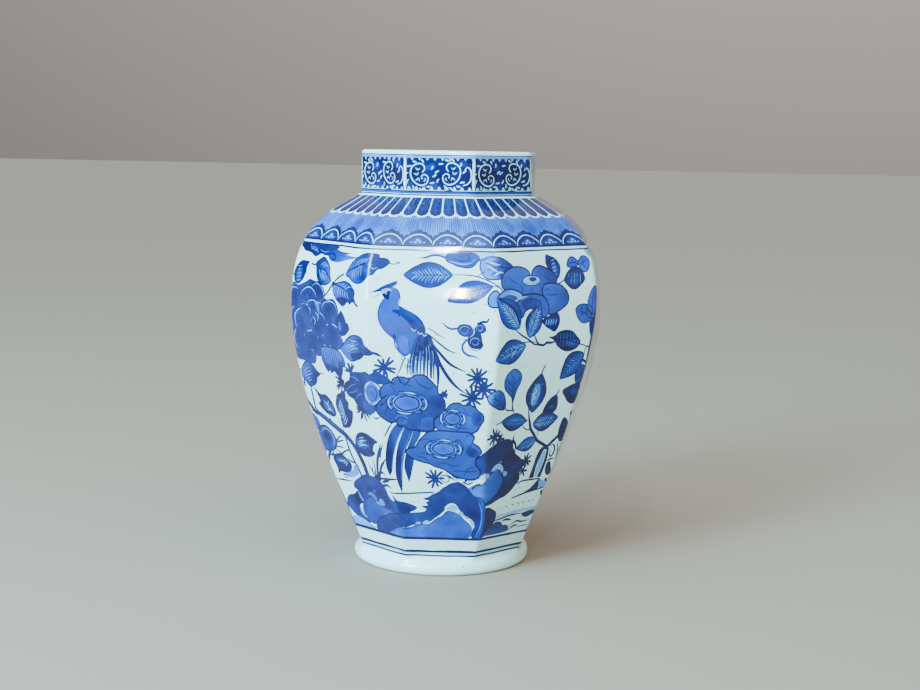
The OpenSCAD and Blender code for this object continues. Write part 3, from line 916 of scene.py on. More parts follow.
def camellia_top_leaves(k):
    """The leaves and buds round the camellia."""
    pale_leaf(k, [(-67, 276), (-69, 283), (-66, 289), (-58, 292), (-50, 292), (-43, 289), (-37, 283.5),
                  (-40, 279), (-46, 275.5), (-54, 274), (-62, 273.5)],
              along(k, (-60, 284), (-40, 281), 0.34, 0.72),
              [[(-40, 282), (-52, 284), (-64, 281)], [(-48, 283), (-53, 288), (-57, 289)],
               [(-52, 283), (-58, 279), (-62, 277)], [(-56, 284), (-62, 287), (-65, 287)],
               [(-46, 282), (-50, 278), (-55, 276)]])
    strokes(k, [[(-62, 285), (-58, 282), (-54, 280)], [(-60, 288), (-54, 286), (-50, 286)],
                [(-58, 277), (-53, 279.5), (-48, 279)]], 1.2, 0.14, 0.5, 0.3)
    rim_leaf(k, [(-7.5, 237), (-1, 240.5), (5, 242), (11, 243), (14, 238), (13.3, 231.5), (9, 226.8),
                 (3, 229), (-3, 232)],
             [(-4, 237), (2, 239), (8, 238), (9, 232.5), (4, 231.5), (-1, 233.5)], 0.88, 0.26)
    for x in (-1, 2, 5, 7.5):
        stroke(k, [(x, 238.5), (x + 0.6, 235), (x, 232.5)], 0.7, 0.62)
    rim_leaf(k, [(2, 292.8), (-0.5, 286), (1.5, 280.5), (6, 276), (10.5, 271.5), (14.5, 276), (15.8, 283),
                 (12, 289), (6.5, 291.5)],
             [(6, 286), (9, 288), (12, 283), (11, 277), (9.6, 274), (7, 278), (5, 281)], 0.84, 0.28)
    for z in (286, 283.4, 280.8, 278):
        stroke(k, [(6, z - 0.5), (9, z), (12, z - 1.2)], 0.7, 0.66)
    stroke(k, [(10, 267.5), (14, 268.5), (19, 271), (24, 273)], 1.3, 0.6, 0.9, 0.5)
    rim_leaf(k, [(18, 270.5), (21.5, 266), (27, 262.3), (33, 262.3), (39, 266), (43.3, 270.5), (41.5, 277),
                 (36.5, 281.2), (29, 281), (22.5, 277)],
             [(21, 270.6), (25, 266.3), (31, 265), (36, 269), (37, 275), (33, 278), (26, 276)], 0.9, 0.32)
    for x in range(7):
        stroke(k, [(23 + 2.1 * x, 276), (23.6 + 2.1 * x, 271.5), (23 + 2.1 * x, 267)], 1.0, 0.84, 0.5, 0.5)
    stroke(k, [(20, 270.5), (28, 271.5), (37, 272.5)], 0.9, 0.9)
    pale_leaf(k,
              [(23.5, 282.5), (26, 287.5), (31, 290), (36, 287.5), (38.5, 284.5), (34, 281.5), (27, 281)],
              0.52, [[(37, 284), (31, 285), (25, 283.5)], [(32, 285), (30, 288.5)],
                     [(34, 284.5), (35, 287)], [(28, 284.5), (26, 286.5)]])
    pale_leaf(k, [(37.5, 284), (40, 288.5), (45, 290.4), (49.6, 288), (50.4, 283), (47, 277.5), (42, 277),
                  (38.7, 280)], 0.44,
              [[(39, 283), (44, 285), (48, 288)], [(41, 284), (44, 281), (46, 279)],
               [(43, 285), (43.5, 288.5)]])
    blob(k, [(47, 296), (50, 297), (56, 295), (54, 290), (49, 291.5)], 0.25)
    pale_leaf(k, [(32, 244.5), (35, 248), (41, 249.2), (46.5, 247.5), (51, 241.5), (52, 236), (47, 232.8),
                  (41, 233.2), (35.5, 237.5)], 0.5,
              [[(51, 236), (44, 241), (35, 244)], [(46, 239), (45, 246)], [(42, 242), (38, 238)],
               [(39, 243), (39, 247.5)]])
    pale_leaf(k, [(46.5, 245), (46.5, 252), (49.5, 259), (54, 264), (58, 262), (60, 252), (58, 244),
                  (54.5, 238.5), (50.5, 241.5)], 0.46,
              [[(53, 239), (52, 250), (54, 262)], [(52, 246), (48, 248)], [(52.5, 252), (49.5, 255)]])
    blob(k, [(50, 233.5), (52.5, 238), (57, 236.5), (59, 228), (57, 219), (52.5, 223.5)], 0.74)


def camellia_middle_leaves(k):
    """The leaves under the camellia and down to the middle of the flat."""
    rim_leaf(k, [(2.5, 222.4), (9, 223.2), (14, 226.5), (22, 227.8), (31, 226.4), (37.5, 221.5),
                 (43, 216.5), (40, 211.3), (32, 208.6), (24, 209.2), (16, 213), (9.5, 219.2)],
             [(26, 219), (33, 220), (40, 216), (37, 212), (30, 212), (25, 215)], 0.95, 0.4)
    stroke(k, [(8, 221.5), (22, 219.8), (34, 216.5), (46, 213.5), (56, 211)], 1.1, 0.97, 0.6, 0.9)
    for x in (14, 18, 22, 26, 30, 34):
        stroke(k, [(x, 220), (x - 1.5, 223), (x - 1, 225)], 0.8, 0.5, 0.7, 0.3)
        stroke(k, [(x, 219), (x - 1, 216), (x + 0.5, 213)], 0.8, 0.55, 0.7, 0.3)
    leaf(k, (-23, 217), (-57, 205), 21, 0.93, 0.14, 6, -1.0, middle=0.2, reach=0.6, fullest=1.0)
    for x, z in [(-32, 213), (-37, 214), (-42, 213), (-35, 208), (-41, 207), (-47, 210)]:
        blob(k, ellipse((x, z), 1.3, 1.0, n=6), 0.8, 1.2)
    stroke(k, [(-41, 233.5), (-31, 226.5), (-21, 221.5), (-14, 217.3), (-7, 216.3)], 1.6, 0.9, 0.5, 0.9)
    stroke(k, [(-15, 225.5), (-11, 219.5), (-7, 216.3)], 1.7, 0.9, 0.7, 0.9)
    stroke(k, [(-9, 216.6), (-2, 215.8), (1, 217.8), (6, 217.4), (13, 218.4)], 2.4, 0.95, 0.8, 0.5)
    stroke(k, [(-35, 218), (-26, 219.4), (-16, 219.4), (-10, 217.4)], 1.2, 0.82)
    leaf(k, (50, 206), (25, 184), 21, 0.95, 0.26, 5, -1.5, middle=0.3, reach=0.6)
    for x, z in [(33, 199), (36, 196), (39, 201), (42, 199), (35, 203), (31, 194)]:
        blob(k, ellipse((x, z), 1.0, 0.7, n=6), 0.85, 1.2)
    stroke(k, [(48, 200), (52, 199), (56, 196)], 2.4, 0.97, 0.9, 0.5)
    stroke(k, [(51, 203), (50.5, 210), (57, 212)], 1.3, 0.8)
    pale_leaf(k, [(44, 186), (46, 192), (51, 195.5), (56, 192), (57, 184), (53, 178), (47, 179.5)], 0.66,
              [[(47, 182), (51, 187), (54, 192)]])
    rim_leaf(k, [(32, 173), (38, 176.5), (46, 179), (54, 178.5), (56, 168), (51, 160), (43, 161.5),
                 (37, 167)],
             [(43, 172), (48, 175.5), (52, 172), (49, 167), (45, 168)], 0.97, 0.62)
    pale_leaf(k, [(-42.5, 187), (-40, 193), (-34, 196.6), (-28, 195), (-23, 190), (-23, 184), (-26, 177),
                  (-27.5, 166), (-30, 171), (-36, 175.5), (-41, 180.5)],
              along(k, (-33, 190), (-28, 168), 0.46, 0.8),
              [[(-28, 168), (-31, 180), (-32, 192)], [(-31, 181), (-37, 185), (-40, 189)],
               [(-31, 183), (-26, 187), (-25, 190)], [(-30, 176), (-36, 179)],
               [(-31.5, 187), (-35, 191), (-36, 194)], [(-30, 177), (-26, 181)]])
    pale_leaf(k, [(-58, 172), (-55, 177), (-48, 178.7), (-42, 176.3), (-38, 171), (-35.5, 165),
                  (-35.5, 161), (-41, 160.6), (-47, 163), (-54, 166.5)],
              along(k, (-52, 174), (-37, 162), 0.4, 0.8),
              [[(-37, 163), (-45, 169), (-55, 172)], [(-44, 168), (-44, 174), (-46, 177)],
               [(-48, 170), (-52, 175)], [(-41, 166), (-47, 165.5)]])
    stroke(k, [(-28, 168), (-26.5, 162), (-23, 157)], 1.7, 0.85, 0.7, 0.9)
    stroke(k, [(-36, 162), (-31, 159.4), (-24, 159.4)], 1.5, 0.88, 0.7, 0.9)


def camellia_low_leaves(k):
    """The leaves round the top of the trunk."""
    leaf(k, (0, 155), (1, 191), 24, 0.95, 0.25, 0, 1.0, middle=0.45, fullest=0.95)
    blob(k, [(-6, 170), (-5, 177), (-2, 181.5), (2, 180), (4, 172), (2, 165), (-1, 161), (-4, 164)], 0.36)
    stroke(k, [(-2, 163), (-4, 167), (-1, 169), (-4, 172), (-1, 174.5), (-3, 178)], 1.2, 0.14, 0.5, 0.5,
           step=1.2)
    stroke(k, [(1, 190), (2.2, 194.5), (4.5, 198.4)], 1.9, 0.62, 0.9, 0.5)
    leaf(k, (-4, 148), (-36, 149.6), 16, 0.93, 0.25, 6, 0.8, middle=0.3, reach=0.6, fullest=1.05)
    stroke(k, [(-35, 149.6), (-38, 148.4), (-42, 147.2)], 1.6, 0.4, 0.9, 0.5)
    rim_leaf(k, [(13, 154), (14.5, 161), (19, 167), (26, 170.2), (29.6, 164), (30, 156), (24, 152),
                 (17, 152)],
             [(19, 157), (20, 161), (24, 161), (26, 157)], 0.93, 0.56)
    stroke(k, [(25.5, 169), (27, 172), (27.8, 175)], 1.7, 0.7, 0.9, 0.5)
    leaf(k, (4, 144.5), (35, 148.5), 18, 0.92, 0.2, 8, -0.5, middle=0.34)
    stroke(k, [(13, 138), (13.5, 132)], 1.2, 0.5)
    leaf(k, (14, 129.5), (-10.5, 122.4), 13, 0.88, 0.22, 6, 0.8, middle=0.28)
    blob(k, [(42, 147.5), (49, 144), (53, 135), (47, 124.5), (42, 127), (39.5, 136)], 0.96)
    for z in (140, 136, 132, 128):
        stroke(k, [(43, z - 1), (48, z + 1)], 0.8, 0.6)


def camellia_branch(k):
    """The trunk of the camellia and its forks."""
    stroke(k, [(-6, 160), (-3, 152), (0, 146), (3, 140), (9, 134), (15, 128), (22, 124.5), (30, 120.5)],
           3.0, 0.97, 0.35, 1.0)
    stroke(k, [(-16, 150), (-8, 150), (-1, 147)], 0.9, 0.7)
    stroke(k, [(2, 139.2), (-4, 140.4), (-10, 145)], 1.2, 0.9, 0.9, 0.4)
    stroke(k, [(29, 120), (36, 126), (43, 132)], 3.4, 0.98, 0.9, 0.9)
    blade(k, [(31, 121), (24, 121), (20, 116), (17.5, 104), (15.5, 91)],
          [(31, 118), (27, 118), (24.5, 112), (22, 102), (22, 91)], 0.96)
    blade(k, [(30, 120), (30.5, 110), (29, 100), (26, 91)], [(33, 120), (34, 110), (33, 100), (31, 91)], 0.95)
    blob(k, [(26, 116), (29.5, 117), (30, 108), (28, 98), (25, 92), (23, 93), (23, 104)], 0.24)
    stroke(k, [(18, 112), (19, 104), (18, 96)], 0.9, 0.5)
    stroke(k, [(33, 121), (38, 122), (41, 117), (39, 111), (36, 112), (36, 118)], 2.2, 0.93)
    stroke(k, [(42, 124), (45, 118), (44, 112)], 1.6, 0.9)
    blob(k, [(35, 104), (39, 106), (42, 100), (44, 94), (39, 92), (35, 97)], 0.92)
    stroke(k, [(33, 106), (38, 108), (44, 108)], 1.8, 0.9)
    blob(k, [(38, 89), (42, 88), (42, 84), (39, 84)], 0.9)


def camellia_rocks(k):
    """The dark and the light rock beside the trunk."""
    sprig(k, (-40, 136), 8.5, 9, 0.86)
    sprig(k, (-33, 133.5), 6, 6, 0.9)
    dark = [(-52, 118), (-48, 122), (-42, 126.5), (-33, 131), (-25, 133), (-18, 131.5), (-15, 128),
            (-13.5, 123.5), (-10, 120.5), (-8.5, 117), (-2, 113), (1, 110), (4, 107.5), (2, 103), (1, 97),
            (2.5, 92), (-1, 87), (-6, 81.5), (-13, 77), (-22, 74.3), (-30, 71), (-40, 68.6), (-44, 72),
            (-42, 80), (-40, 92), (-44, 104), (-50, 110)]
    blob(k, dark, along(k, (-45, 110), (-12, 98), 0.84, 0.95), 3)
    stroke(k, dark[9:22], 1.2, 0.98, 0.5, 0.5)
    blob(k, [(-18, 100), (-6, 101), (-3, 95), (-6, 87), (-14, 86), (-18, 92)],
         around(k, (-11, 94), 9, 8, 0.78, 0.93))
    stroke(k, [(-10, 122), (-12, 127), (-16, 131), (-16, 136)], 2.6, 0.97, 0.8, 0.3)
    light = [(-57, 86), (-51, 90), (-44, 91), (-39, 96.5), (-34, 101.5), (-28, 104), (-24, 102),
             (-20, 96.5), (-19, 91), (-22, 84.5), (-28, 78.3), (-35, 73.6), (-42, 72.3), (-48, 76),
             (-53, 80)]
    blob(k, light, along(k, (-50, 84), (-24, 92), 0.42, 0.52), 3)
    stroke(k, light[:9], 1.1, 0.93, 0.5, 0.6)
    blob(k, [(-35.5, 103), (-33, 107.5), (-28, 109.8), (-23, 107.5), (-20.5, 103), (-22, 100.5),
             (-25.5, 104), (-31, 103)], 0.24)
    stroke(k, [(-35, 102.5), (-29, 104.3), (-24, 101), (-19, 94)], 1.1, 0.97)
    blob(k, [(-20, 101.5), (-16, 101), (-15, 97.5), (-19, 97)], 0.3)
    blob(k, [(-43, 100), (-39, 101.5), (-37, 98), (-41, 96)], 0.3)
    blob(k, ellipse((-26, 111), 2.0, 1.1, n=6), 0.4, 1.2)
    blob(k, [(-40, 66), (-33, 67.4), (-27, 64.5), (-21.5, 60.5), (-21, 57), (-20, 53), (-22, 49),
             (-25, 44), (-28, 38), (-36, 37), (-39, 46), (-41, 58)], 0.93)
    stroke(k, [(-33, 67.4), (-27, 64.5), (-21.5, 60.5), (-20.4, 54), (-23, 48)], 1.1, 0.98)
    sprig(k, (6, 109), 8, 9, 0.9)
    sprig(k, (5, 100), 6, 6, 0.93)


def camellia_shore(k):
    """The banks, stones and ripples below the rocks."""
    stroke(k, [(1, 87.5), (8, 89.5), (18, 89.6), (30, 89.6)], 1.8, 0.93, 0.9, 0.7)
    blob(k, [(14, 77.6), (20, 80.5), (26, 86), (31, 90), (32, 84), (31, 79), (22, 78)], 0.94)
    blob(k, [(31, 88), (37, 87), (42, 84), (41, 80), (33, 80)], 0.26)
    stroke(k, [(-3, 73.2), (5, 74.8), (16, 77), (28, 78.3), (40, 79.8)], 2.0, 0.95, 0.7, 0.6)
    blob(k, [(37, 77), (41, 76), (42, 71), (38, 73)], 0.93)
    for x, z in [(-7.5, 65.5), (0.5, 66.5), (9, 67), (16, 67), (24, 67.4), (30, 67.6)]:
        stroke(k, [(x - 1.8, z + 1), (x, z), (x + 1.6, z - 1.2)], 1.2, 0.62)
    for x, z in [(1, 81.6), (6, 82.8)]:
        stroke(k, [(x - 1.5, z + 0.3), (x + 1.2, z - 0.3)], 0.9, 0.5)
    blob(k, [(-19, 57.5), (0, 59.5), (20, 61), (39, 60.5), (39, 57), (20, 57.5), (0, 56), (-16, 53.5)],
         0.2, 4)
    stroke(k, [(-20, 52.8), (-12, 53.4), (-2, 55.2), (10, 55.8), (20, 55.6)], 1.8, 0.93, 0.8, 0.4)
    blob(k, [(18.5, 55.5), (21.5, 52), (28, 50.6), (34, 52.5), (39, 54), (38, 57), (28, 57.4)], 0.88)
    blob(k, [(-22, 49), (-18, 51.5), (-11, 50.5), (-7, 47), (-1, 45.5), (4, 42), (2, 38.5), (-30, 38),
             (-28, 43)], 0.6)
    for line, w in [([(-17, 50), (-12, 48), (-8, 49)], 1.6), ([(-10, 51), (-3, 51.8), (5, 50.4)], 2.6),
                    ([(2, 42), (8, 46), (14, 48.2), (22, 46.6), (34, 47)], 1.9),
                    ([(-4, 46.5), (0, 45), (4, 42.5)], 1.4), ([(4, 40), (12, 43.5), (18, 43)], 2.2),
                    ([(-24, 45), (-16, 46), (-10, 43)], 1.4), ([(16, 41), (26, 42), (34, 41)], 1.2)]:
        stroke(k, line, w, 0.9)


def camellia_flat(k):
    """Everything on a flat with the camellia."""
    camellia_top_leaves(k)
    camellia_middle_leaves(k)
    camellia_low_leaves(k)
    camellia(k)
    leaf(k, (-33, 231.5), (-58.5, 258.5), 22, 0.86, 0.12, 8, -1.0, middle=0.2, reach=0.7)
    stroke(k, [(-57, 258), (-46, 252.5), (-38, 246), (-33, 235)], 3.0, 0.9, 0.5, 0.4)
    leaf(k, (-21, 223), (-9.5, 251), 19, 0.84, 0.14, 9, 1.0, middle=0.24)
    camellia_branch(k)
    camellia_rocks(k)
    camellia_shore(k)


# ---------------------------------------------------------------- the flat with the tree peony
def hatch(k, lines, tone):
    """Fine lines over a leaf, with one more between each pair."""
    pairs = zip(lines, lines[1:])
    between = [[((a + c) / 2, (b + d) / 2) for (a, b), (c, d) in zip(one, two)] for one, two in pairs]
    for line in lines + between:
        stroke(k, line, 0.75, tone, 0.5, 0.2)


def petal(k, centre, rx, ry, turn, tone):
    """One rounded petal with a dark outline, a light line inside it and three fine creases."""
    tone += 0.1
    shape = ellipse(centre, rx, ry, turn, 16, 0.05, 5, dice.uniform(0, 3))
    blob(k, shape, around(k, centre, rx, ry, tone + 0.06, tone - 0.03))
    stroke(k, shape[:9], 1.3, 0.98, 0.3, 0.3)
    stroke(k, [centre + (p - centre) * 0.88 for p in shape[:8]], 1.0, 0.26, 0.2, 0.2)
    for i in (2, 4, 6):
        stroke(k, [centre + (shape[i] - centre) * f for f in (0.15, 0.5, 0.8)], 0.9, tone + 0.2, 0.5, 0.2)


def peony_flower(k):
    """The large tree peony, petal over petal."""
    blob(k, [(-57, 257), (-52, 260), (-46, 258), (-38, 260), (-33, 262), (-27, 264), (-20, 263),
             (-14, 262), (-9, 259), (-7, 254), (-3, 250), (1, 248), (8, 249.5), (13, 248), (17, 243),
             (17.5, 238), (16, 233), (18, 230), (20, 225), (20, 219), (23, 214), (21, 208), (16, 206),
             (10, 205), (0, 205), (-8, 204), (-12, 199), (-18, 196), (-24, 199), (-23, 193), (-26, 189),
             (-34, 188), (-45, 189), (-54, 190), (-58, 200), (-60, 230)], 0.72, 3)
    for u, z, rx, ry, turn, tone in [(-36, 196, 14, 7, 0, 0.42), (-18, 202, 8, 6, 10, 0.46),
                                     (-45, 209, 13, 10, 80, 0.46), (-10, 209, 11, 8, 0, 0.48),
                                     (-27, 210, 13, 9, 10, 0.52), (7, 218, 14, 11, 0, 0.46),
                                     (-50, 228, 11, 9, 80, 0.5), (4, 238, 13.5, 10.5, 10, 0.48),
                                     (-14, 226, 13, 11, 20, 0.5), (-40, 226, 12, 12, 60, 0.48),
                                     (-50, 247, 9, 10, 60, 0.5), (-15, 252, 12, 10, -20, 0.52),
                                     (-29, 247, 14, 11, 10, 0.5), (-22, 238, 12, 9, 0, 0.46),
                                     (-33, 236, 9, 6, -20, 0.5)]:
        petal(k, np.array([u, z], float), rx, ry, turn, tone + 0.18)
    for u, z in [(-30, 248), (-24, 222), (-46, 222), (-35, 243), (-27, 241), (2, 229), (-9, 214), (-36, 206)]:
        blob(k, ellipse((u, z), 3.2, 2.0, dice.uniform(-40, 40), n=8), 0.7, 1.5)
    strokes(k, [[(-19, 245), (-14, 240), (-12, 234)], [(-22, 232), (-18, 228), (-20, 224)],
                [(-17, 243), (-13, 245), (-9, 244)], [(-18, 236), (-13, 232), (-15, 228)],
                [(-8, 208), (-3, 206), (3, 208)]], 1.1, 0.3, 0.3, 0.3)
    stroke(k, [(-9, 259), (-7, 254), (-3.5, 250), (1, 248), (8, 249.6), (13, 248), (17, 243), (17.8, 238),
               (16, 233)], 1.1, 0.82)
    stroke(k, [(-38, 259), (-33, 261.5), (-27, 264), (-20, 263), (-14, 262), (-9, 259)], 1.1, 0.82)
    stroke(k, [(-12, 199), (-18, 196), (-24, 199.5), (-22.6, 194), (-26, 189), (-34, 188), (-45, 188.6)],
           1.0, 0.76)


def peony_top_leaves(k):
    """The leaves over the tree peony."""
    blob(k, [(-51, 296), (-48, 291.5), (-43, 288.7), (-35, 288), (-30, 286.5), (-26, 284.8), (-21, 285.3),
             (-17, 287.5), (-10, 286.4), (-4, 287), (1, 290), (6, 292.5), (4, 296.4)],
         along(k, (-40, 292), (0, 292), 0.96, 0.8), 2.5)
    blob(k, [(-5, 287.5), (-1, 283.3), (7, 281.8), (15, 282.5), (22, 284.4), (30, 286), (39, 288),
             (30, 288.4), (22, 289.4), (28, 290.8), (14, 291.3), (4, 293), (0, 290.5)],
         along(k, (0, 286), (24, 287), 0.72, 0.48))
    edged(k, [(-5, 287.5), (-2, 284.4), (2, 283.4), (6.5, 284.6), (5, 288), (0, 289)], 0.76, 0.93)
    hatch(k, [[(-37, 295), (-33, 291), (-30, 291)], [(-29, 294), (-26, 290), (-21, 288.5)],
              [(-32, 293), (-34, 290)], [(-20, 291), (-12, 289.5), (-5, 290.5)]], 0.38)
    stroke(k, [(8, 287), (14, 288.2), (22, 287)], 1.0, 0.72)
    stroke(k, [(4, 292), (14, 290.2), (27, 290.9)], 1.2, 0.75)
    rim_leaf(k, [(-53, 262), (-53.5, 270), (-50, 276), (-44, 280), (-37, 280.2), (-31.5, 279.4),
                 (-34, 275), (-34.5, 270), (-37, 265), (-41, 261), (-47, 258.5)],
             [(-51, 263), (-51, 270), (-47, 275), (-42, 275), (-40, 269), (-42, 263), (-46, 260.5)], 0.88,
             0.34)
    strokes(k, [[(-46, 262), (-46, 268), (-42, 274)], [(-46, 266), (-50, 268)], [(-45, 270), (-48, 273)]],
            0.8, 0.62)
    edged(k, [(-21, 279), (-17, 282.2), (-12, 284.6), (-7.5, 283.8), (-3, 281), (1, 277), (2.4, 272),
              (3, 269), (5, 266), (2, 263), (-3, 261.4), (-8, 261.4), (-13, 263), (-16, 266), (-18, 270),
              (-19.4, 275)], along(k, (-17, 270), (2, 272), 0.92, 0.48), 0.9)
    hatch(k, [[(-14, 277), (-10, 280), (-6, 280.5)], [(-10, 275), (-5, 278), (-1, 277)],
              [(-12, 271), (-8, 267), (-4, 265)], [(-7, 273), (-4, 269.5), (0, 267)],
              [(-15, 274), (-12, 269), (-9, 265)]], 0.34)
    stroke(k, [(-15, 278), (-8, 275), (0, 270), (9, 263.5)], 1.3, 0.93)
    stroke(k, [(-20, 278.6), (-24, 277.4), (-28.5, 278.6)], 1.6, 0.85, 0.9, 0.7)


def peony_side_leaves(k):
    """The leaves to the right of the tree peony."""
    edged(k, [(30, 279), (33, 283.5), (38, 287.5), (45, 291), (53, 292.3), (62, 291.5), (63, 289),
              (69, 288.5), (73, 285.5), (69, 281), (64, 279.5), (61, 275), (57, 275), (55, 271), (51, 268),
              (44, 266.5), (37, 268), (31, 271), (27, 272.6)], along(k, (34, 275), (62, 281), 0.52, 0.8),
          0.85)
    blob(k, [(46, 276), (53, 279), (60, 277), (56, 271.5), (50, 268.5), (44, 269)],
         around(k, (52, 272.5), 9, 6, 0.92, 0.62))
    hatch(k, [[(38, 279), (36, 274), (37, 270.5)], [(43, 280.5), (41, 275), (43, 270.5)],
              [(48, 282), (47, 277), (49, 273)], [(38, 280), (42, 285), (47, 288)],
              [(45, 282), (50, 286.5), (56, 288.5)], [(53, 283.5), (58, 287)],
              [(56, 284), (60, 280), (64, 281)]], 0.32)
    stroke(k, [(24, 273), (31, 276.5), (40, 280.2), (50, 283.6), (62, 285.6)], 1.3, 0.93)
    stroke(k, [(72, 285.2), (77, 284.2), (82, 285.6), (77, 286.4)], 1.1, 0.66, 0.9, 0.4)
    edged(k, [(9, 262.6), (14, 264), (20, 265.6), (27, 266.6), (34, 265), (39, 261.5), (42, 258),
              (41, 254), (43, 250), (38.5, 250.4), (35, 248), (32, 250), (28, 247), (24, 245.4), (19, 248),
              (13.5, 251.5), (10, 256.5)], along(k, (14, 260), (38, 253), 0.44, 0.86), 0.88)
    blob(k, [(16, 251), (22, 252.5), (30, 251.5), (29, 248), (24, 246), (19, 248.4)], 0.9)
    hatch(k, [[(19, 262), (17, 257), (18, 253)], [(25, 260.6), (24, 256), (26, 253)],
              [(31, 258), (31, 255), (34, 252)], [(22, 262), (26, 265)],
              [(28, 260), (33, 262.5), (36, 262)]], 0.28)
    stroke(k, [(9, 263.4), (18, 262), (25, 260.4), (31, 257.5)], 1.3, 0.92, 0.9, 0.3)
    stroke(k, [(41, 250.6), (44, 248.4), (47, 247)], 2.4, 0.66, 0.7, 0.9)
    stroke(k, [(9, 263.5), (4.5, 258.5), (0, 254), (-4.6, 250.4)], 2.0, 0.85, 0.9, 0.7)
    stroke(k, [(9, 263.5), (16, 269), (24, 273)], 1.9, 0.88, 0.9, 0.9)
    blob(k, ellipse((9, 263.6), 2.0, 1.7, n=7), 0.97, 1.2)


def peony_low_leaves(k):
    """The leaves under the tree peony."""
    rim_leaf(k, [(12.5, 231.5), (17, 236), (21.5, 241), (26, 238), (28.5, 234), (29.6, 231.4), (32, 231),
                 (34, 226), (30.5, 222.5), (26, 219.4), (20, 219), (17, 223)],
             [(17, 229), (21, 229.5), (23, 226), (20, 222.5), (17, 225)], 0.93, 0.42)
    stroke(k, [(20, 219), (21, 227), (23, 235)], 0.8, 0.97)
    edged(k, [(18, 207), (24, 213), (30, 218), (37, 221), (45, 221.6), (51, 219.4), (53, 214.6), (57, 212),
              (61, 208.5), (58, 206.4), (51, 206), (48, 203.4), (42, 201), (34, 198.4), (29, 198.6),
              (23, 202)], along(k, (26, 208), (52, 212), 0.46, 0.74), 0.9)
    blob(k, [(32, 204), (40, 206.5), (50, 207.5), (48, 204), (41, 201.4), (34, 199)], 0.88)
    blob(k, [(42, 219.5), (50, 218.6), (52, 214), (47, 215.5)], 0.84)
    hatch(k, [[(24, 209), (33, 213), (40, 214)], [(28, 206), (37, 209.5), (45, 211)],
              [(33, 217), (38, 216), (43, 217)]], 0.28)
    stroke(k, [(30, 213), (40, 213), (50, 210), (60, 208)], 1.1, 0.9)
    stroke(k, [(59, 208.6), (64, 208), (69, 205.4)], 2.6, 0.8, 0.9, 0.3)
    edged(k, [(-13, 204), (-14, 195), (-11, 188), (-7, 183.4), (-4.4, 185.8), (-2, 183), (2, 185.4),
              (6, 183.4), (10, 180.4), (15, 186), (16.6, 191), (20, 191.6), (20.6, 197), (17, 202.6),
              (11, 205.5), (3, 206.5), (-6, 206)], along(k, (3, 205), (3, 184), 0.46, 0.96), 0.88)
    hatch(k, [[(-8, 202), (-8, 195), (-6, 190)], [(-2, 204), (-2, 196), (-1, 190)],
              [(4, 204), (4.6, 195), (4, 189)], [(10, 203), (10, 195), (9, 188)], [(15, 201), (15, 195)]],
          0.38)
    edged(k, [(-51, 178), (-47, 184), (-40, 188.4), (-31, 186.5), (-26, 182), (-21.5, 179), (-27, 175.5),
              (-29, 171), (-35, 167), (-42, 165.4), (-47, 169.5), (-51, 173)],
          along(k, (-44, 182), (-32, 171), 0.5, 0.94), 0.88)
    hatch(k, [[(-47, 178), (-41, 182), (-36, 183)], [(-46, 174), (-39, 176.5), (-33, 178)],
              [(-42, 170), (-37, 172)]], 0.32)
    stroke(k, [(-22, 179), (-19, 180.4), (-15, 179.2)], 1.5, 0.8)
    stroke(k, [(-49, 172), (-50, 167), (-49, 163)], 3, 0.9)


def peony_branch(k):
    """The trunk of the tree peony."""
    stroke(k, [(-40.5, 167), (-40.5, 156), (-41, 144)], 2.6, 0.88, 0.8, 0.9)
    stroke(k, [(-53, 153), (-47, 146), (-43, 141.5), (-36, 140), (-25, 135.5), (-12, 129.5), (-4, 126),
               (4, 119), (8, 112), (11, 102), (12, 88)], 6.2, 0.9, 0.6, 1.0)
    stroke(k, [(-36, 141), (-26, 136.5), (-14, 131), (-7, 127.6)], 2.0, 0.62, 0.3, 0.3)
    stroke(k, [(1, 121), (6, 113), (9, 101), (10, 92)], 1.2, 0.62, 0.3, 0.3)
    strokes(k, [[(-48, 142), (-42, 140)], [(-22, 139.5), (-20, 135)], [(-41, 146), (-37, 143)]], 2.0, 0.92)
    stroke(k, [(-4.5, 125), (-4.4, 113), (-2.6, 103), (0.6, 96), (1.6, 88)], 2.8, 0.9, 0.8, 1)
    stroke(k, [(-12, 102.6), (-7, 100.4), (-1, 99.6)], 2.2, 0.88)


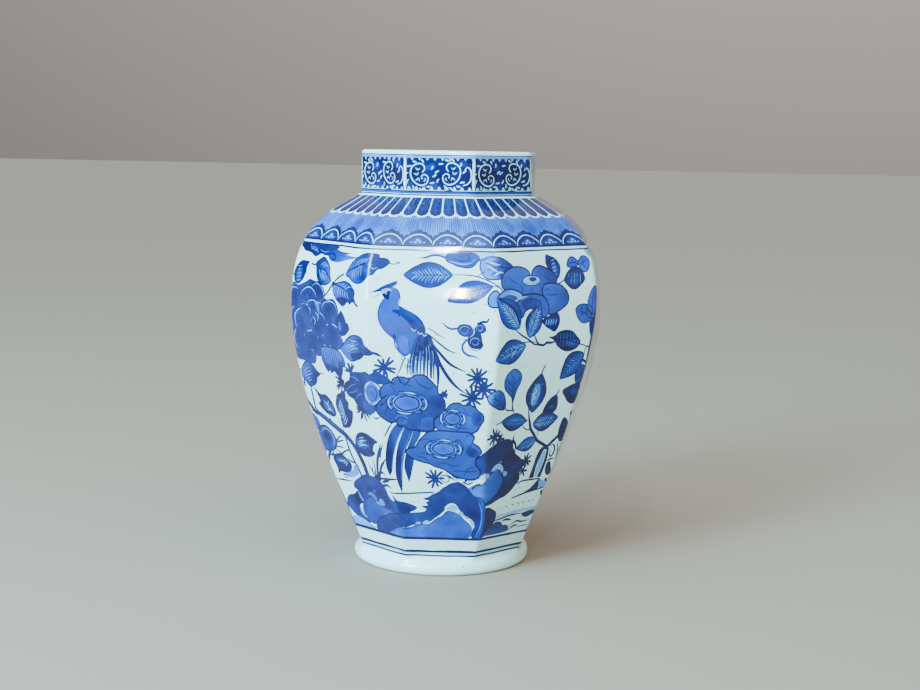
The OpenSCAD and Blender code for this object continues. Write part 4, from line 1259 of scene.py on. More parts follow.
def peony_branch_leaves(k):
    """The leaves and the small flower along the trunk."""
    edged(k, [(-50, 138), (-45, 137), (-41, 132.5), (-42, 127), (-46, 124), (-50, 128)], 0.56, 0.9)
    rim_leaf(k, [(-36.5, 165.4), (-31, 162.4), (-26.5, 160), (-20, 160.8), (-14, 158), (-10, 152),
                 (-8.6, 146), (-11, 142), (-16, 140.6), (-23, 142), (-29, 145), (-34, 151), (-30.4, 152.4),
                 (-31.4, 157.4)],
             [(-26, 152), (-23, 156), (-17, 155), (-12, 149), (-12, 143.6), (-19, 143.6), (-24, 147)],
             0.92, 0.4)
    hatch(k, [[(-12, 144), (-18, 149), (-25, 155)], [(-17, 148), (-22, 146)], [(-20, 151), (-17, 155)]], 0.24)
    stroke(k, [(-10, 143), (-8.6, 138), (-7, 131)], 1.0, 0.5)
    rim_leaf(k, [(-3, 133), (-4.4, 139), (-3.6, 144), (-6.4, 150), (-5, 157), (-1, 163), (5, 166),
                 (11.6, 169), (13, 166), (12, 161.4), (15, 158), (13, 153), (18, 151), (16, 145),
                 (12, 139), (7, 134.6), (2, 133)],
             [(-1, 135), (-3, 144), (-4, 152), (-1, 159), (3, 161), (5, 152), (4, 143), (3, 136)], 0.92,
             0.55)
    hatch(k, [[(-3, 150), (0, 155), (4, 160)], [(-2, 145), (2, 150), (5, 155)],
              [(-2, 140), (2, 144), (5, 149)], [(0, 136), (4, 139), (7, 143)]], 0.22)
    stroke(k, [(-4.6, 127), (-4, 133), (-1, 142), (1, 150)], 1.2, 0.88)
    rim_leaf(k, [(8.6, 121), (12, 127), (18, 131.4), (25, 133.2), (31, 132.6), (37, 130.4), (43.5, 127.2),
                 (37.4, 124), (34, 120), (33, 117), (35, 115.4), (30, 112), (24, 110), (16, 109.4),
                 (11, 112), (8, 117)],
             [(11, 120), (16, 126), (24, 129), (29, 126), (27, 120), (19, 116), (12, 116)], 0.9, 0.42)
    hatch(k, [[(12, 121), (19, 124.4), (27, 125.6)], [(13, 118), (20, 120.6), (27, 121)],
              [(17, 126.6), (24, 128)]], 0.18)
    stroke(k, [(8.6, 121), (16, 122.4), (26, 123.4), (34, 124)], 0.9, 0.9)
    edged(k, [(-47, 117), (-44.5, 124.5), (-38, 129), (-30, 129.2), (-24, 125), (-20.6, 118), (-24, 111),
              (-30, 107), (-38, 104.6), (-45, 107)], 0.66, 0.93)
    stroke(k, arc_points((-33, 118.5), 8.6, 8.2, -60, 150, 8), 1.5, 0.35, 0.4, 0.4)
    blob(k, ellipse((-33.5, 119.5), 6.4, 5.6, n=9), around(k, (-33.5, 119.5), 7, 6, 0.97, 0.75))
    stroke(k, [(-33, 108), (-37, 104), (-41, 99), (-44, 93)], 3.4, 0.78, 0.8, 0.4)
    stroke(k, [(-30, 106), (-34, 102), (-38, 101)], 2.4, 0.8)
    strokes(k, [[(-21, 117), (-16, 121), (-10, 124)], [(-21, 116), (-15, 118), (-8, 120)],
                [(-24, 112), (-18, 112), (-12, 112.6)], [(-26, 109), (-20, 106), (-14, 105)],
                [(-4, 112), (-12, 109), (-19, 105.4), (-28, 104)]], 1.7, 0.8, 0.9, 0.3)


def peony_reeds(k):
    """The leaf and the grasses between the trunk and the rocks."""
    rim_leaf(k, [(-35, 98), (-31, 103), (-22, 105.4), (-15, 103.4), (-8.6, 98.4), (-10.4, 92), (-16, 88),
                 (-24, 87), (-29, 87), (-33, 84.4), (-32.8, 90)],
             [(-30, 99), (-24, 103), (-17, 102), (-13, 98), (-19, 96), (-26, 96)], 0.92, 0.42)
    hatch(k, [[(-16, 100), (-22, 98), (-28, 98)], [(-14, 98), (-18, 94)]], 0.2)
    blob(k, [(-28, 84.4), (-16, 83.4), (-8, 86), (-1, 90.5), (0, 96), (-4, 97.5), (-10, 91), (-20, 87.4)],
         0.34)
    stroke(k, ellipse((-24, 83.4), 2.8, 1.8, n=8), 0.9, 0.82, closed=True)
    stroke(k, [(-43, 77.6), (-32, 78.8), (-16, 80)], 1.7, 0.78)
    for line, w in [([(27, 92), (33, 106), (41, 118), (48, 127)], 3.2),
                    ([(28, 90), (36, 102), (44, 109.5), (48, 113)], 2.6),
                    ([(30, 91), (40, 92.6), (53, 93.4)], 2.2), ([(29, 84), (36, 86), (42, 84)], 2.6),
                    ([(31, 88), (37, 90), (43, 92)], 2.6), ([(24, 92), (27, 101), (28, 111)], 1.7),
                    ([(22, 92), (20, 100), (19, 106)], 1.5), ([(26, 93), (22, 97), (24, 102)], 1.6),
                    ([(30, 96), (36, 98), (40, 95)], 2.4), ([(40, 112), (44, 119), (50, 126)], 2.0)]:
        stroke(k, line, w, 0.82, 0.95, 0.2)
    blob(k, ellipse((26, 91), 5, 3, n=8), 0.93)


def peony_rocks(k):
    """The rocks at the foot of the tree peony."""
    main = [(-16.6, 74.6), (-13, 80), (-6, 84), (0, 87), (6, 90), (14, 90.8), (22, 90.4), (28, 88),
            (31, 84), (32, 80), (32, 76), (34, 72.4), (39, 71.4), (47, 71.6), (53, 69.6), (57.4, 66.4),
            (52, 62.6), (46, 61.6), (38, 58), (30, 59), (24, 61), (18, 61.6), (12, 65), (6, 68.6), (2, 68),
            (-4, 63), (-9, 60), (-13, 66), (-12, 72)]
    blob(k, main, along(k, (-12, 76), (34, 70), 0.84, 0.74), 3)
    stroke(k, main[:12], 1.1, 0.95, 0.5, 0.5)
    blob(k, [(-4, 78), (8, 80), (18, 78), (14, 72), (2, 72)], around(k, (6, 76), 11, 5, 0.94, 0.8))
    blob(k, [(20, 76), (30, 74), (36, 66), (30, 62), (22, 68)], around(k, (28, 69), 8, 6, 0.9, 0.78))
    lobe = [(-12, 71.6), (-20, 67), (-27, 65), (-32, 61), (-34.5, 55), (-31, 50), (-26, 46), (-20, 42.4),
            (-13, 41), (-8, 41.6), (-9, 46), (-15, 49), (-17, 55), (-14, 59), (-8, 61)]
    blob(k, lobe, along(k, (-30, 52), (-14, 64), 0.72, 0.93))
    stroke(k, lobe[:9], 1.2, 0.95, 0.5, 0.6)
    stroke(k, [(-12, 71), (-11, 66), (-9, 62)], 2.6, 0.34, 0.7, 0.5)
    light = [(-14, 52), (-11, 59), (-6, 63.4), (0, 67.6), (4, 69.6), (8, 67), (13, 63), (19, 62), (26, 61),
             (30, 58.6), (22, 56.6), (12, 52.6), (4, 47.6), (0, 42), (-6, 41.6), (-11, 45)]
    blob(k, light, along(k, (-6, 56), (22, 60), 0.66, 0.52))
    stroke(k, light[:9], 1.1, 0.93, 0.6, 0.5)
    stroke(k, [(-17, 56), (-16.4, 50), (-11, 46)], 3.0, 0.34, 0.6, 0.6)
    for points, tone in [([(1, 71), (4, 73.6), (9, 74.4), (13, 71), (13, 67.4), (9.6, 66.4), (6, 69.8)],
                          0.42),
                         ([(14, 67), (17, 70), (21, 69.4), (22, 65), (18, 62.4), (14, 64)], 0.34),
                         ([(11, 77), (14, 78), (15, 75), (12, 74.4)], 0.46)]:
        edged(k, points, tone, 0.86, 0.7)
    low = [(0, 36.4), (0.6, 43), (5, 48), (12, 52), (22, 56), (30, 58.4), (38, 60), (46, 61.8), (46, 50),
           (38, 47), (30, 43), (24, 40), (19, 36.4)]
    blob(k, low, 0.74, 3)
    stroke(k, low[1:8], 1.1, 0.92, 0.6, 0.5)
    blob(k, [(17, 36.4), (24, 40.6), (30, 43.6), (38, 46), (48, 46), (44, 36.4)], 0.42)
    blob(k, [(-36, 40), (-29, 45), (-20, 44.4), (-12, 41.6), (-4, 39), (-4, 36.4), (-34, 36.4)], 0.28)


def peony_flat(k):
    """Everything on a flat with the tree peony."""
    peony_rocks(k)
    peony_branch(k)
    peony_branch_leaves(k)
    peony_reeds(k)
    peony_flower(k)
    peony_top_leaves(k)
    peony_side_leaves(k)
    peony_low_leaves(k)


# ---------------------------------------------------------------- clay
class Clay:
    """Collects one section's faces with a tone and a normal at each face corner."""

    def __init__(self, name):
        self.name = name
        self.points = []
        self.faces = []
        self.tones = []
        self.normals = []

    def add_points(self, points):
        first = len(self.points)
        self.points.extend(map(tuple, points))
        return list(range(first, first + len(points)))

    def add_face(self, ids, normals, tones=(0.0, 0.0, 0.0, 0.0)):
        self.faces.append(tuple(ids))
        self.normals.extend(map(tuple, normals))
        self.tones.extend(tones[:len(ids)])

    def strip(self, low, low_normals, high, high_normals):
        """Faces between two closed rows with the same number of points."""
        n = len(low)
        for i in range(n):
            j = (i + 1) % n
            self.add_face((low[i], low[j], high[j], high[i]),
                          (low_normals[i], low_normals[j], high_normals[j], high_normals[i]))

    def finish(self, material):
        """Makes the closed mesh, hangs it on the root and hides the CAD section of the same name in its
        place.
        """
        mesh = bpy.data.meshes.new(self.name)
        mesh.from_pydata([(x / MM, y / MM, z / MM) for x, y, z in self.points], [], self.faces)
        tone = mesh.attributes.new("tone", "FLOAT", "CORNER")
        tone.data.foreach_set("value", np.array(self.tones, np.float32))
        mesh.polygons.foreach_set("use_smooth", [True] * len(mesh.polygons))
        mesh.normals_split_custom_set([Vector(n) for n in self.normals])
        mesh.materials.append(material)
        piece = add_object(self.name, mesh)
        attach(piece, "root")
        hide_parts(self.name.replace("_form", ""))


def add_object(name, data):
    made = bpy.data.objects.new(name, data)
    bpy.context.scene.collection.objects.link(made)
    return made


UP = (0.0, 0.0, 1.0)
DOWN = (0.0, 0.0, -1.0)
WEAVE_STEP = 3.0     # height of one row of the weave that carries the painting
INNER_STEP = 6.0     # height of one row of the plain inside
ON_ROW = 1e-4        # points this close to a height stand on it
# Where the weave's columns stand across one flat: closest at its rounded corners
COLUMNS = [0, 0.015, 0.03, 0.045, 0.07]
COLUMNS += [0.07 + 0.86 * i / 26 for i in range(1, 26)]
COLUMNS += [0.93, 0.955, 0.97, 0.985]


def columns_round(every=1):
    return [FIRST + i + c for i in range(FACETS) for c in COLUMNS[::every]]


def weave(low, high):
    """The points and edges of the plain weave that carries the painting of one section."""
    rows = int(round((high - low) / WEAVE_STEP))
    s = columns_round() + [LAST]
    z = [low + (high - low) * i / rows for i in range(rows + 1)]
    points = [(a * ROLL_UNITS, b) for b in z for a in s]
    n = len(s)
    edges = []
    for r in (0, rows):
        edges += [(r * n + i, r * n + i + 1) for i in range(n - 1)]
    for i, a in enumerate(s):
        if abs(a - round(a)) < 1e-6 or i in (0, n - 1):
            edges += [(r * n + i, (r + 1) * n + i) for r in range(rows)]
    return points, edges


def inside(px, py, poly):
    """Which points a polygon winds round."""
    winding = np.zeros(len(px), int)
    x0, y0 = poly[-1]
    for x1, y1 in poly:
        if y0 != y1:
            side = (x1 - x0) * (py - y0) - (px - x0) * (y1 - y0)
            winding += ((y0 <= py) & (y1 > py) & (side > 0)).astype(int)
            winding -= ((y0 > py) & (y1 <= py) & (side < 0)).astype(int)
        x0, y0 = x1, y1
    return winding != 0


def moved(tone, by):
    return (lambda p: tone(p - (by, 0))) if callable(tone) else tone


def wrapped(left, right):
    """Everything painted, with what crosses the closing corner given again on its far side."""
    for poly, tone in PAINT:
        yield poly, tone
        low, high = poly[:, 0].min(), poly[:, 0].max()
        by = (right - left) * (int(low < left) - int(high > right))
        if by and high - low < right - left:
            yield poly + (by, 0), moved(tone, by)


def triangles(points, edges, closeness):
    """A flat sheet of triangles through all the points and along all the edges."""
    made = geometry.delaunay_2d_cdt([Vector(p) for p in points], edges, [], 0, closeness)
    return np.array([tuple(v) for v in made[0]]), np.array([f for f in made[2] if len(f) == 3])


def wind(flat, tris, way):
    """Turns triangles over so that they all run anticlockwise (way 1) or clockwise (way -1)."""
    b = flat[tris[:, 1]] - flat[tris[:, 0]]
    c = flat[tris[:, 2]] - flat[tris[:, 0]]
    wrong = (b[:, 0] * c[:, 1] - b[:, 1] * c[:, 0]) * way < 0
    tris[wrong] = tris[wrong][:, ::-1]


def top_shape(shapes, centre):
    """For each triangle, the number of the last shape painted over its centre, or -1."""
    owner = np.full(len(centre), -1)
    order = np.argsort(centre[:, 0])
    sorted_x = centre[order, 0]
    for n, (poly, _) in enumerate(shapes):
        x0, y0 = poly.min(0)
        x1, y1 = poly.max(0)
        near = order[np.searchsorted(sorted_x, x0):np.searchsorted(sorted_x, x1)]
        near = near[(centre[near, 1] > y0) & (centre[near, 1] < y1)]
        if len(near):
            owner[near[inside(centre[near, 0], centre[near, 1], poly)]] = n
    return owner


def corner_tones(shapes, owner, corners):
    """The tone at each triangle's three corners."""
    tones = np.zeros((len(owner), 3))
    for n, (_, tone) in enumerate(shapes):
        mine = np.nonzero(owner == n)[0]
        if len(mine):
            tones[mine] = tone(corners[mine].reshape(-1, 2)).reshape(-1, 3) if callable(tone) else tone
    return tones


def painted_skin(clay, low, high, half_of):
    """The outside of a section, cut along the edges of everything painted on it."""
    points, edges = weave(low, high)
    left, right = FIRST * ROLL_UNITS, LAST * ROLL_UNITS
    shapes = [(p, t) for p, t in wrapped(left, right) if p[:, 1].min() < high and p[:, 1].max() > low]
    for poly, tone in shapes:
        first = len(points)
        n = len(poly)
        points += [(x, min(max(y, low - 5), high + 5)) for x, y in poly]
        edges += [(first + i, first + (i + 1) % n) for i in range(n)]
    flat, tris = triangles(points, edges, 1e-3)
    centre = flat[tris].mean(1)
    keep = (centre[:, 0] > left) & (centre[:, 0] < right) & (centre[:, 1] > low) & (centre[:, 1] < high)
    tris, centre = tris[keep], centre[keep]
    wind(flat, tris, 1)
    tones = corner_tones(shapes, top_shape(shapes, centre), flat[tris])
    used = np.unique(tris)
    s = flat[used, 0] / ROLL_UNITS
    z = flat[used, 1]
    ids = np.array(clay.add_points(shell(s, half_of(z), z)))
    normals = shell_normal(s, half_of, z)
    closing = np.abs(s - LAST) < 1e-5
    opening = np.nonzero(np.abs(s - FIRST) < 1e-5)[0]
    for i in np.nonzero(closing)[0]:
        match = opening[np.argmin(np.abs(z[opening] - z[i]))]
        if abs(z[match] - z[i]) < 0.02:
            ids[i] = ids[match]
    for face, tone in zip(np.searchsorted(used, tris), tones):
        if len(set(ids[face])) == 3:
            clay.add_face(ids[face], normals[face], tone)
    rims = []
    for level in (low, high):
        rim = np.nonzero((np.abs(z - level) < ON_ROW) & ~closing)[0]
        rim = rim[np.argsort(s[rim])]
        rims.append((s[rim], ids[rim].tolist()))
    return rims


def rim_row(clay, s, half, z):
    return clay.add_points(shell(s, half, z))


def inner_wall(clay, low, high, rim_low, rim_high):
    """The plain inside, from the low rim's row of points to the high rim's."""
    s_low, ids_low = rim_low
    s_high, ids_high = rim_high
    rows = max(2, int((high - low) / INNER_STEP))
    points = [(a * ROLL_UNITS, low) for a in list(s_low) + [LAST]]
    points += [(a * ROLL_UNITS, high) for a in list(s_high) + [LAST]]
    for r in range(1, rows):
        points += [(a * ROLL_UNITS, low + (high - low) * r / rows) for a in columns_round(2) + [LAST]]
    n_low, n_high = len(s_low) + 1, len(s_high) + 1
    edges = [(i, i + 1) for i in range(n_low - 1)] + [(n_low + i, n_low + i + 1) for i in range(n_high - 1)]
    flat, tris = triangles(points, edges, 1e-5)
    wind(flat, tris, -1)
    s = flat[:, 0] / ROLL_UNITS
    z = flat[:, 1]
    xyz = shell(s, inner_half(z), z)
    normals = -shell_normal(s, inner_half, z)
    ids = np.full(len(flat), -1)
    for row, level in ((ids_low, low), (ids_high, high)):
        here = np.nonzero(np.abs(z - level) < ON_ROW)[0]
        for n, i in enumerate(here[np.argsort(s[here])]):
            ids[i] = row[n % len(row)]
    free = np.nonzero(ids < 0)[0]
    ids[free] = clay.add_points(xyz[free])
    opening = np.nonzero(np.abs(s - FIRST) < 1e-5)[0]
    for i in np.nonzero(np.abs(s - LAST) < 1e-5)[0]:
        ids[i] = ids[opening[np.argmin(np.abs(z[opening] - z[i]))]]
    for face in tris:
        clay.add_face(ids[face], normals[face])


def body_section(name, low, high, material):
    """A section of the octagonal body between two seams."""
    clay = Clay(name + "_form")
    bottom, top = painted_skin(clay, low, high, outer_half)
    s_low, outer_low = bottom
    s_high, outer_high = top
    inner_low = rim_row(clay, s_low, inner_half(low), low)
    inner_high = rim_row(clay, s_high, inner_half(high), high)
    clay.strip(inner_low, [DOWN] * len(inner_low), outer_low, [DOWN] * len(outer_low))
    clay.strip(outer_high, [UP] * len(outer_high), inner_high, [UP] * len(inner_high))
    inner_wall(clay, low, high, (s_low, inner_low), (s_high, inner_high))
    clay.finish(material)


def neck_section(name, material):
    """The upright neck with its rounded lip."""
    clay = Clay(name + "_form")
    low = NECK_Z
    high = JAR_TOP - LIP_R
    bottom, top = painted_skin(clay, low, high, neck_half)
    s_low, outer_low = bottom
    s, row = top
    mouth = NECK_HALF - WALL
    outward = shell_normal(s, neck_half, np.full(len(s), high - 1))
    before = [tuple(n) for n in outward]
    for i in range(1, LIP_ROWS + 1):
        a = math.pi * i / LIP_ROWS
        bend_at = NECK_HALF - LIP_R if i <= LIP_ROWS / 2 else mouth + LIP_R
        here = rim_row(clay, s, bend_at + LIP_R * math.cos(a), high + LIP_R * math.sin(a))
        bent = [(n[0] * math.cos(a), n[1] * math.cos(a), math.sin(a)) for n in outward]
        clay.strip(row, before, here, bent)
        row, before = here, bent
    inner_low = rim_row(clay, s_low, mouth, low)
    clay.strip(inner_low, [DOWN] * len(inner_low), outer_low, [DOWN] * len(outer_low))
    inner_wall(clay, low, high, (s_low, inner_low), (s, row))
    clay.finish(material)


def ring(x, y, r, angle, z):
    """A level row of points round an upright axis."""
    return np.stack([x + r * np.cos(angle), y + r * np.sin(angle), np.full(len(angle), z)], 1)


def foot_profile():
    """The roll's outline, from the top of the recess under the ring and up to the body."""
    profile = [(BORE_R, RECESS), (BORE_R, 1.5), (BORE_R + 0.4, 0.4), (BORE_R + 1.5, 0),
               (FOOT_R - FOOT_UNDER_R - 1, 0)]
    for i in range(FOOT_UNDER_ROWS + 1):
        a = math.radians(-90 + 90 * i / FOOT_UNDER_ROWS)
        profile.append((FOOT_R - FOOT_UNDER_R + FOOT_UNDER_R * math.cos(a),
                        FOOT_UNDER_R + FOOT_UNDER_R * math.sin(a)))
    for i in range(1, FOOT_SIDE_ROWS + 1):
        z = FOOT_UNDER_R + (FOOT_TOP - FOOT_UNDER_R) * i / FOOT_SIDE_ROWS
        drop = FOOT_SIDE_R - math.sqrt(FOOT_SIDE_R ** 2 - (z - FOOT_UNDER_R) ** 2)
        profile.append((FOOT_R - drop, z))
    return profile


def foot_rows(profile):
    """The profile turned round; its outside eases into the octagon, and low down it all sits to the left."""
    s = np.array(columns_round())
    wall = shell(s, outer_half(FOOT_TOP), FOOT_TOP)
    x, y = wall.mean(0)[:2]
    angle = np.arctan2(wall[:, 1] - y, wall[:, 0] - x)
    reach = np.hypot(wall[:, 0] - x, wall[:, 1] - y)
    rows = []
    for r, z in profile:
        outside = r > BORE_R + 5
        blend = np.clip((z - FOOT_SETTLE) / (FOOT_TOP - FOOT_SETTLE), 0, 1) ** 1.6 if outside else 0
        settled_from = FOOT_TOP if outside else RECESS
        shift = FOOT_SLIP * np.clip((settled_from - z) / FOOT_SETTLE, 0, 1)
        rows.append(ring(x + shift, y, r * (1 - blend) + (reach + 0.3) * blend, angle, z))
    rows.append(ring(x, y, BORE_R, angle, FOOT_TOP))
    return rows


def foot_roll(name, material):
    """The round roll, which blends into the octagon where the body stands on it."""
    clay = Clay(name + "_form")
    profile = foot_profile()
    rows = foot_rows(profile)
    n = len(rows[0])
    ids = [clay.add_points(row) for row in rows]
    facing = []
    for row, above in zip(rows, rows[1:] + rows[:1]):
        facing.append(unit(np.cross(np.roll(row, -1, 0) - np.roll(row, 1, 0), above - row)))
    top = len(profile) - 1
    for r in range(len(rows)):
        q = (r + 1) % len(rows)
        if r == top:
            clay.strip(ids[r], [UP] * n, ids[q], [UP] * n)
            continue
        crease = r > top or profile[r][0] <= BORE_R + 0.01
        here = unit(facing[r] if crease else facing[r] + facing[r - 1])
        ahead = unit(facing[r] if crease or q >= top else facing[q] + facing[r])
        clay.strip(ids[r], here.tolist(), ids[q], ahead.tolist())
    clay.finish(material)


def floor_disc(name, material):
    """The disc that closes the jar inside the foot roll."""
    clay = Clay(name + "_form")
    a = np.linspace(0, 2 * math.pi, FLOOR_POINTS, endpoint=False)
    x, y = shell(np.arange(FACETS) + 0.5, outer_half(FOOT_TOP), FOOT_TOP).mean(0)[:2]
    rows = [clay.add_points(ring(x, y, BORE_R, a, z)) for z in (RECESS, FOOT_TOP)]
    out = [(math.cos(t), math.sin(t), 0) for t in a]
    clay.strip(rows[0], out, rows[1], out)
    for row, z, way in ((rows[0], RECESS, DOWN), (rows[1], FOOT_TOP, UP)):
        middle = clay.add_points([(x, y, z)])[0]
        for i, j in zip(row, row[1:] + row[:1]):
            clay.add_face((middle, i, j) if way is UP else (middle, j, i), (way, way, way))
    clay.finish(material)


# ---------------------------------------------------------------- glaze
GLAZE_IOR = 1.5
# How the colour deepens with the amount of cobalt, as sRGB
COBALT = [(0.0, (192, 236, 244)), (0.14, (138, 202, 238)), (0.3, (60, 132, 220)), (0.42, (14, 76, 186)),
          (0.52, (12, 60, 152)), (0.62, (12, 48, 128)), (0.74, (12, 34, 104)), (0.88, (10, 22, 82)),
          (1.0, (8, 12, 56))]
PLAIN_GLAZE = (200, 240, 246)
PLAIN_GLAZE_DEEP = (190, 234, 242)
CLOUD = (206, 226, 240)
IRON_SPECK = (92, 74, 62)
BARE_CLAY = (200, 178, 150)
BARE_UNDER = 0.0004  # the resting ring is bare clay up to this height, in metres
GLAZED_OVER = 0.0009  # and glazed from this height


def linear(rgb):
    """An sRGB colour from 0 to 255 as the linear colour that a shader takes."""
    def one(v):
        v /= 255
        return v / 12.92 if v < 0.04045 else ((v + 0.055) / 1.055) ** 2.4
    return (*map(one, rgb), 1)


def add_node(tree, kind, sockets, **settings):
    """A shader node; each socket is given a value of its own or another node's output."""
    made = tree.nodes.new("ShaderNode" + kind)
    for name, value in settings.items():
        setattr(made, name, value)
    for name, value in sockets.items():
        if hasattr(value, "is_linked"):
            tree.links.new(value, made.inputs[name])
        else:
            made.inputs[name].default_value = value
    return made


def maths(tree, operation, *values):
    return add_node(tree, "Math", dict(enumerate(values)), operation=operation).outputs[0]


def mix(tree, kind, a, b, factor):
    return add_node(tree, "Mix", {0: factor, 6: a, 7: b}, data_type="RGBA", blend_type=kind).outputs[2]


def noise(tree, scale, detail, where):
    return add_node(tree, "TexNoise", {"Scale": scale, "Detail": detail, "Vector": where}).outputs["Fac"]


def stretch(tree, value, low, high, to_low, to_high):
    """Maps the range from low to high on to another range."""
    sockets = {"Value": value, "From Min": low, "From Max": high, "To Min": to_low, "To Max": to_high}
    return add_node(tree, "MapRange", sockets).outputs[0]


def new_material(name):
    material = bpy.data.materials.new(name)
    material.use_nodes = True
    tree = material.node_tree
    shader = tree.nodes["Principled BSDF"]
    shader.inputs["IOR"].default_value = GLAZE_IOR
    return material, tree, shader, tree.nodes.new("ShaderNodeTexCoord").outputs["Object"]


def glaze_flaws(tree, colour, where):
    """Cloudy depth in the glaze, and the odd pinhead of iron that burned through."""
    cloud = stretch(tree, noise(tree, 9, 3, where), 0.35, 0.75, 0, 0.22)
    deep = mix(tree, "MULTIPLY", colour, linear(CLOUD), cloud)
    speck = stretch(tree, noise(tree, 330, 0, where), 0.82, 0.84, 0, 0.7)
    return mix(tree, "MIX", deep, linear(IRON_SPECK), speck)


def glaze_surface(tree, shader, where, bare=None):
    """Gloss that varies a little, over a skin that ran and settled while molten."""
    rough = stretch(tree, noise(tree, 14, 4, where), 0.3, 0.75, 0.035, 0.085)
    if bare is not None:
        rough = maths(tree, "MAXIMUM", rough, bare)
    tree.links.new(rough, shader.inputs["Roughness"])
    ripple = add_node(tree, "Bump",
                      {"Strength": 0.12, "Distance": 0.0012, "Height": noise(tree, 26, 2, where)})
    peel = add_node(tree, "Bump", {"Strength": 0.05, "Distance": 0.0001, "Height": noise(tree, 420, 2, where),
                                   "Normal": ripple.outputs[0]})
    tree.links.new(peel.outputs[0], shader.inputs["Normal"])


def painted_glaze():
    """Clear glaze over cobalt; the tone attribute picks how much cobalt lies under it."""
    material, tree, shader, where = new_material("painted_glaze")
    tone = add_node(tree, "Attribute", {}, attribute_name="tone").outputs["Fac"]
    uneven = stretch(tree, noise(tree, 55, 4, where), 0.3, 0.7, -0.1, 0.07)
    cobalt = maths(tree, "MULTIPLY_ADD", maths(tree, "MULTIPLY", tone, uneven), 1.6, tone)
    ramp = add_node(tree, "ValToRGB", {0: cobalt})
    stops = ramp.color_ramp.elements
    for stop, (position, colour) in ((stops[0], COBALT[0]), (stops[1], COBALT[-1])):
        stop.position = position
        stop.color = linear(colour)
    for position, colour in COBALT[1:-1]:
        stops.new(position).color = linear(colour)
    tree.links.new(glaze_flaws(tree, ramp.outputs[0], where), shader.inputs["Base Color"])
    glaze_surface(tree, shader, where)
    return material


def plain_glaze():
    """Clear glaze on white porcelain, left off the resting ring."""
    material, tree, shader, where = new_material("plain_glaze")
    glaze = mix(tree, "MIX", linear(PLAIN_GLAZE), linear(PLAIN_GLAZE_DEEP), noise(tree, 18, 3, where))
    height = add_node(tree, "SeparateXYZ", {0: where}).outputs["Z"]
    bare = stretch(tree, height, GLAZED_OVER, BARE_UNDER, 0, 1)
    colour = mix(tree, "MIX", glaze, linear(BARE_CLAY), bare)
    tree.links.new(glaze_flaws(tree, colour, where), shader.inputs["Base Color"])
    glaze_surface(tree, shader, where, bare)
    return material


# ---------------------------------------------------------------- the studio
FLOOR_SIZE = 30
FLOOR_COLOUR = (0.3, 0.235, 0.195, 1)
ROOM_COLOUR = (1.0, 0.92, 0.86, 1)
ROOM_LIGHT = 0.13
# Patches of soft light: where each is brightest, how narrow it is, its strength and its colour
WINDOWS = [
    ((-0.45, -0.4, 0.8), 6, 6.0, (0.48, 0.86, 1.0, 1)),
    ((0.5, -0.5, 0.71), 7, 2.6, (1.0, 0.9, 0.6, 1)),
    ((0.99, 0.08, 0.05), 10, 0.7, (1.0, 0.84, 0.52, 1)),
    ((0.1, 0.75, 0.65), 4, 0.8, (1.0, 0.93, 0.88, 1)),
]
# Lamps: name, place, size, power, colour and the height on the axis that each is aimed at
LAMPS = [
    ("key", (-1.28, -1.82, 1.1), (0.8, 1.5), 185, (0.46, 0.86, 1.0), 0.2),
    ("fill", (1.2, -2.5, 1.2), (1.0, 1.0), 3, (1.0, 0.86, 0.72), 0.2),
    ("low_spark", (-0.3, -2.93, 0.77), (0.022, 0.3), 26, (1.0, 1.0, 1.0), 0.26),
    ("high_spark", (-0.33, -2.09, 2.42), (0.022, 0.4), 15, (1.0, 1.0, 1.0), 0.29),
]
LENS = 59.42
CAMERA_PLACE = (0.0112, -1.4092, 0.3821)
CAMERA_DIP = math.radians(7.37)
CAMERA_ROLL = math.radians(1.041)


def pale_floor():
    mesh = bpy.data.meshes.new("floor")
    corners = [(x * FLOOR_SIZE, y * FLOOR_SIZE, 0) for x, y in ((-1, -1), (1, -1), (1, 1), (-1, 1))]
    mesh.from_pydata(corners, [], [(0, 1, 2, 3)])
    material = bpy.data.materials.new("pale_floor")
    material.use_nodes = True
    shader = material.node_tree.nodes["Principled BSDF"]
    shader.inputs["Base Color"].default_value = FLOOR_COLOUR
    shader.inputs["Roughness"].default_value = 0.9
    mesh.materials.append(material)
    add_object("floor", mesh)


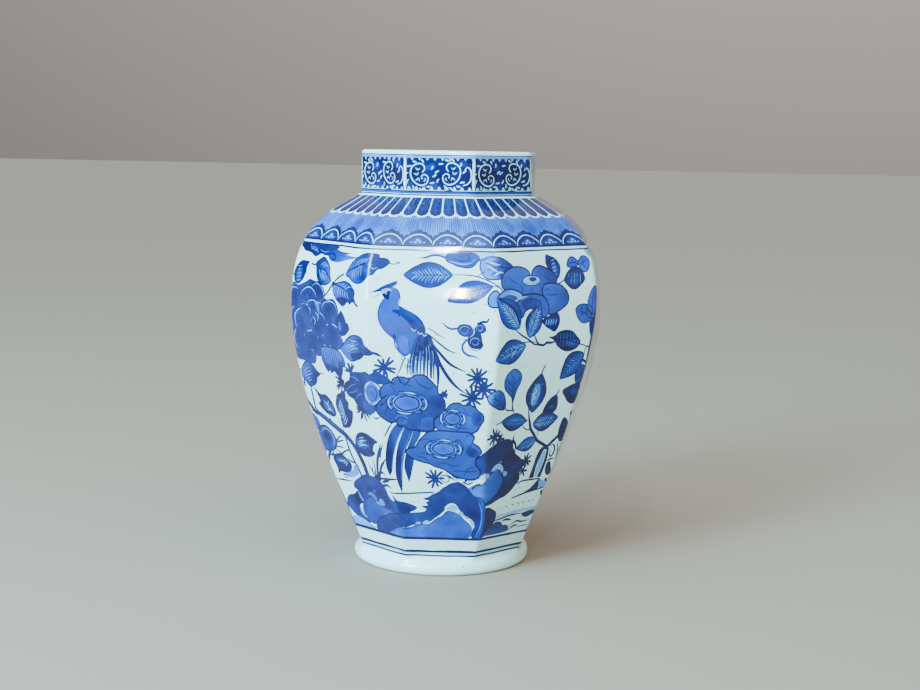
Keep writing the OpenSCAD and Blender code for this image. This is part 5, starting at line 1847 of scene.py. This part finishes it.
def soft_window(tree, light, direction, narrowness, strength, colour):
    """Adds a patch of soft light, brightest in the given direction, to the room's light."""
    view = tree.nodes.new("ShaderNodeTexCoord").outputs["Generated"]
    facing = add_node(tree, "VectorMath", {0: view, 1: direction}, operation="DOT_PRODUCT").outputs["Value"]
    soft = maths(tree, "POWER", maths(tree, "MAXIMUM", facing, 0), narrowness)
    patch = add_node(tree, "Background", {0: colour, 1: maths(tree, "MULTIPLY", soft, strength)}).outputs[0]
    return add_node(tree, "AddShader", {0: light, 1: patch}).outputs[0]


def room():
    world = bpy.data.worlds.new("studio")
    world.use_nodes = True
    tree = world.node_tree
    walls = tree.nodes["Background"]
    walls.inputs[0].default_value = ROOM_COLOUR
    walls.inputs[1].default_value = ROOM_LIGHT
    light = walls.outputs[0]
    for window in WINDOWS:
        light = soft_window(tree, light, *window)
    tree.links.new(light, tree.nodes["World Output"].inputs["Surface"])
    bpy.context.scene.world = world


def lamp(name, where, size, power, colour, aim_height):
    data = bpy.data.lights.new(name, "AREA")
    data.shape = "RECTANGLE"
    data.size, data.size_y = size
    data.energy = power
    data.color = colour
    item = add_object(name, data)
    item.location = where
    item.rotation_mode = "QUATERNION"
    item.rotation_quaternion = (Vector((0, 0, aim_height)) - Vector(where)).to_track_quat("-Z", "Y")


def camera():
    data = bpy.data.cameras.new("camera")
    data.lens = LENS
    data.sensor_width = 36
    data.clip_start = 0.05
    data.clip_end = 50
    item = add_object("camera", data)
    turn = Matrix.Rotation(VIEW_TURN, 4, "Z")
    tilt = Matrix.Rotation(math.radians(90) - CAMERA_DIP, 4, "X")
    roll = Matrix.Rotation(CAMERA_ROLL, 4, "Z")
    item.matrix_world = turn @ Matrix.Translation(CAMERA_PLACE) @ tilt @ roll
    bpy.context.scene.camera = item


# ---------------------------------------------------------------- the jar
for flat in (-3, -1, 2):
    peony_flat(flat)
for flat in (1, 4):
    camellia_flat(flat)
for flat in (-2, 0, 3):
    bird_flat(flat)
bands()
painted = painted_glaze()
plain = plain_glaze()
body_section("lower_body", FOOT_TOP, BELLY_SEAM, painted)
body_section("upper_body", BELLY_SEAM, SHOULDER_SEAM, painted)
body_section("shoulder", SHOULDER_SEAM, NECK_Z, painted)
neck_section("neck_collar", painted)
foot_roll("foot_ring", plain)
floor_disc("base_floor", plain)
pale_floor()
room()
for one in LAMPS:
    lamp(*one)
camera()
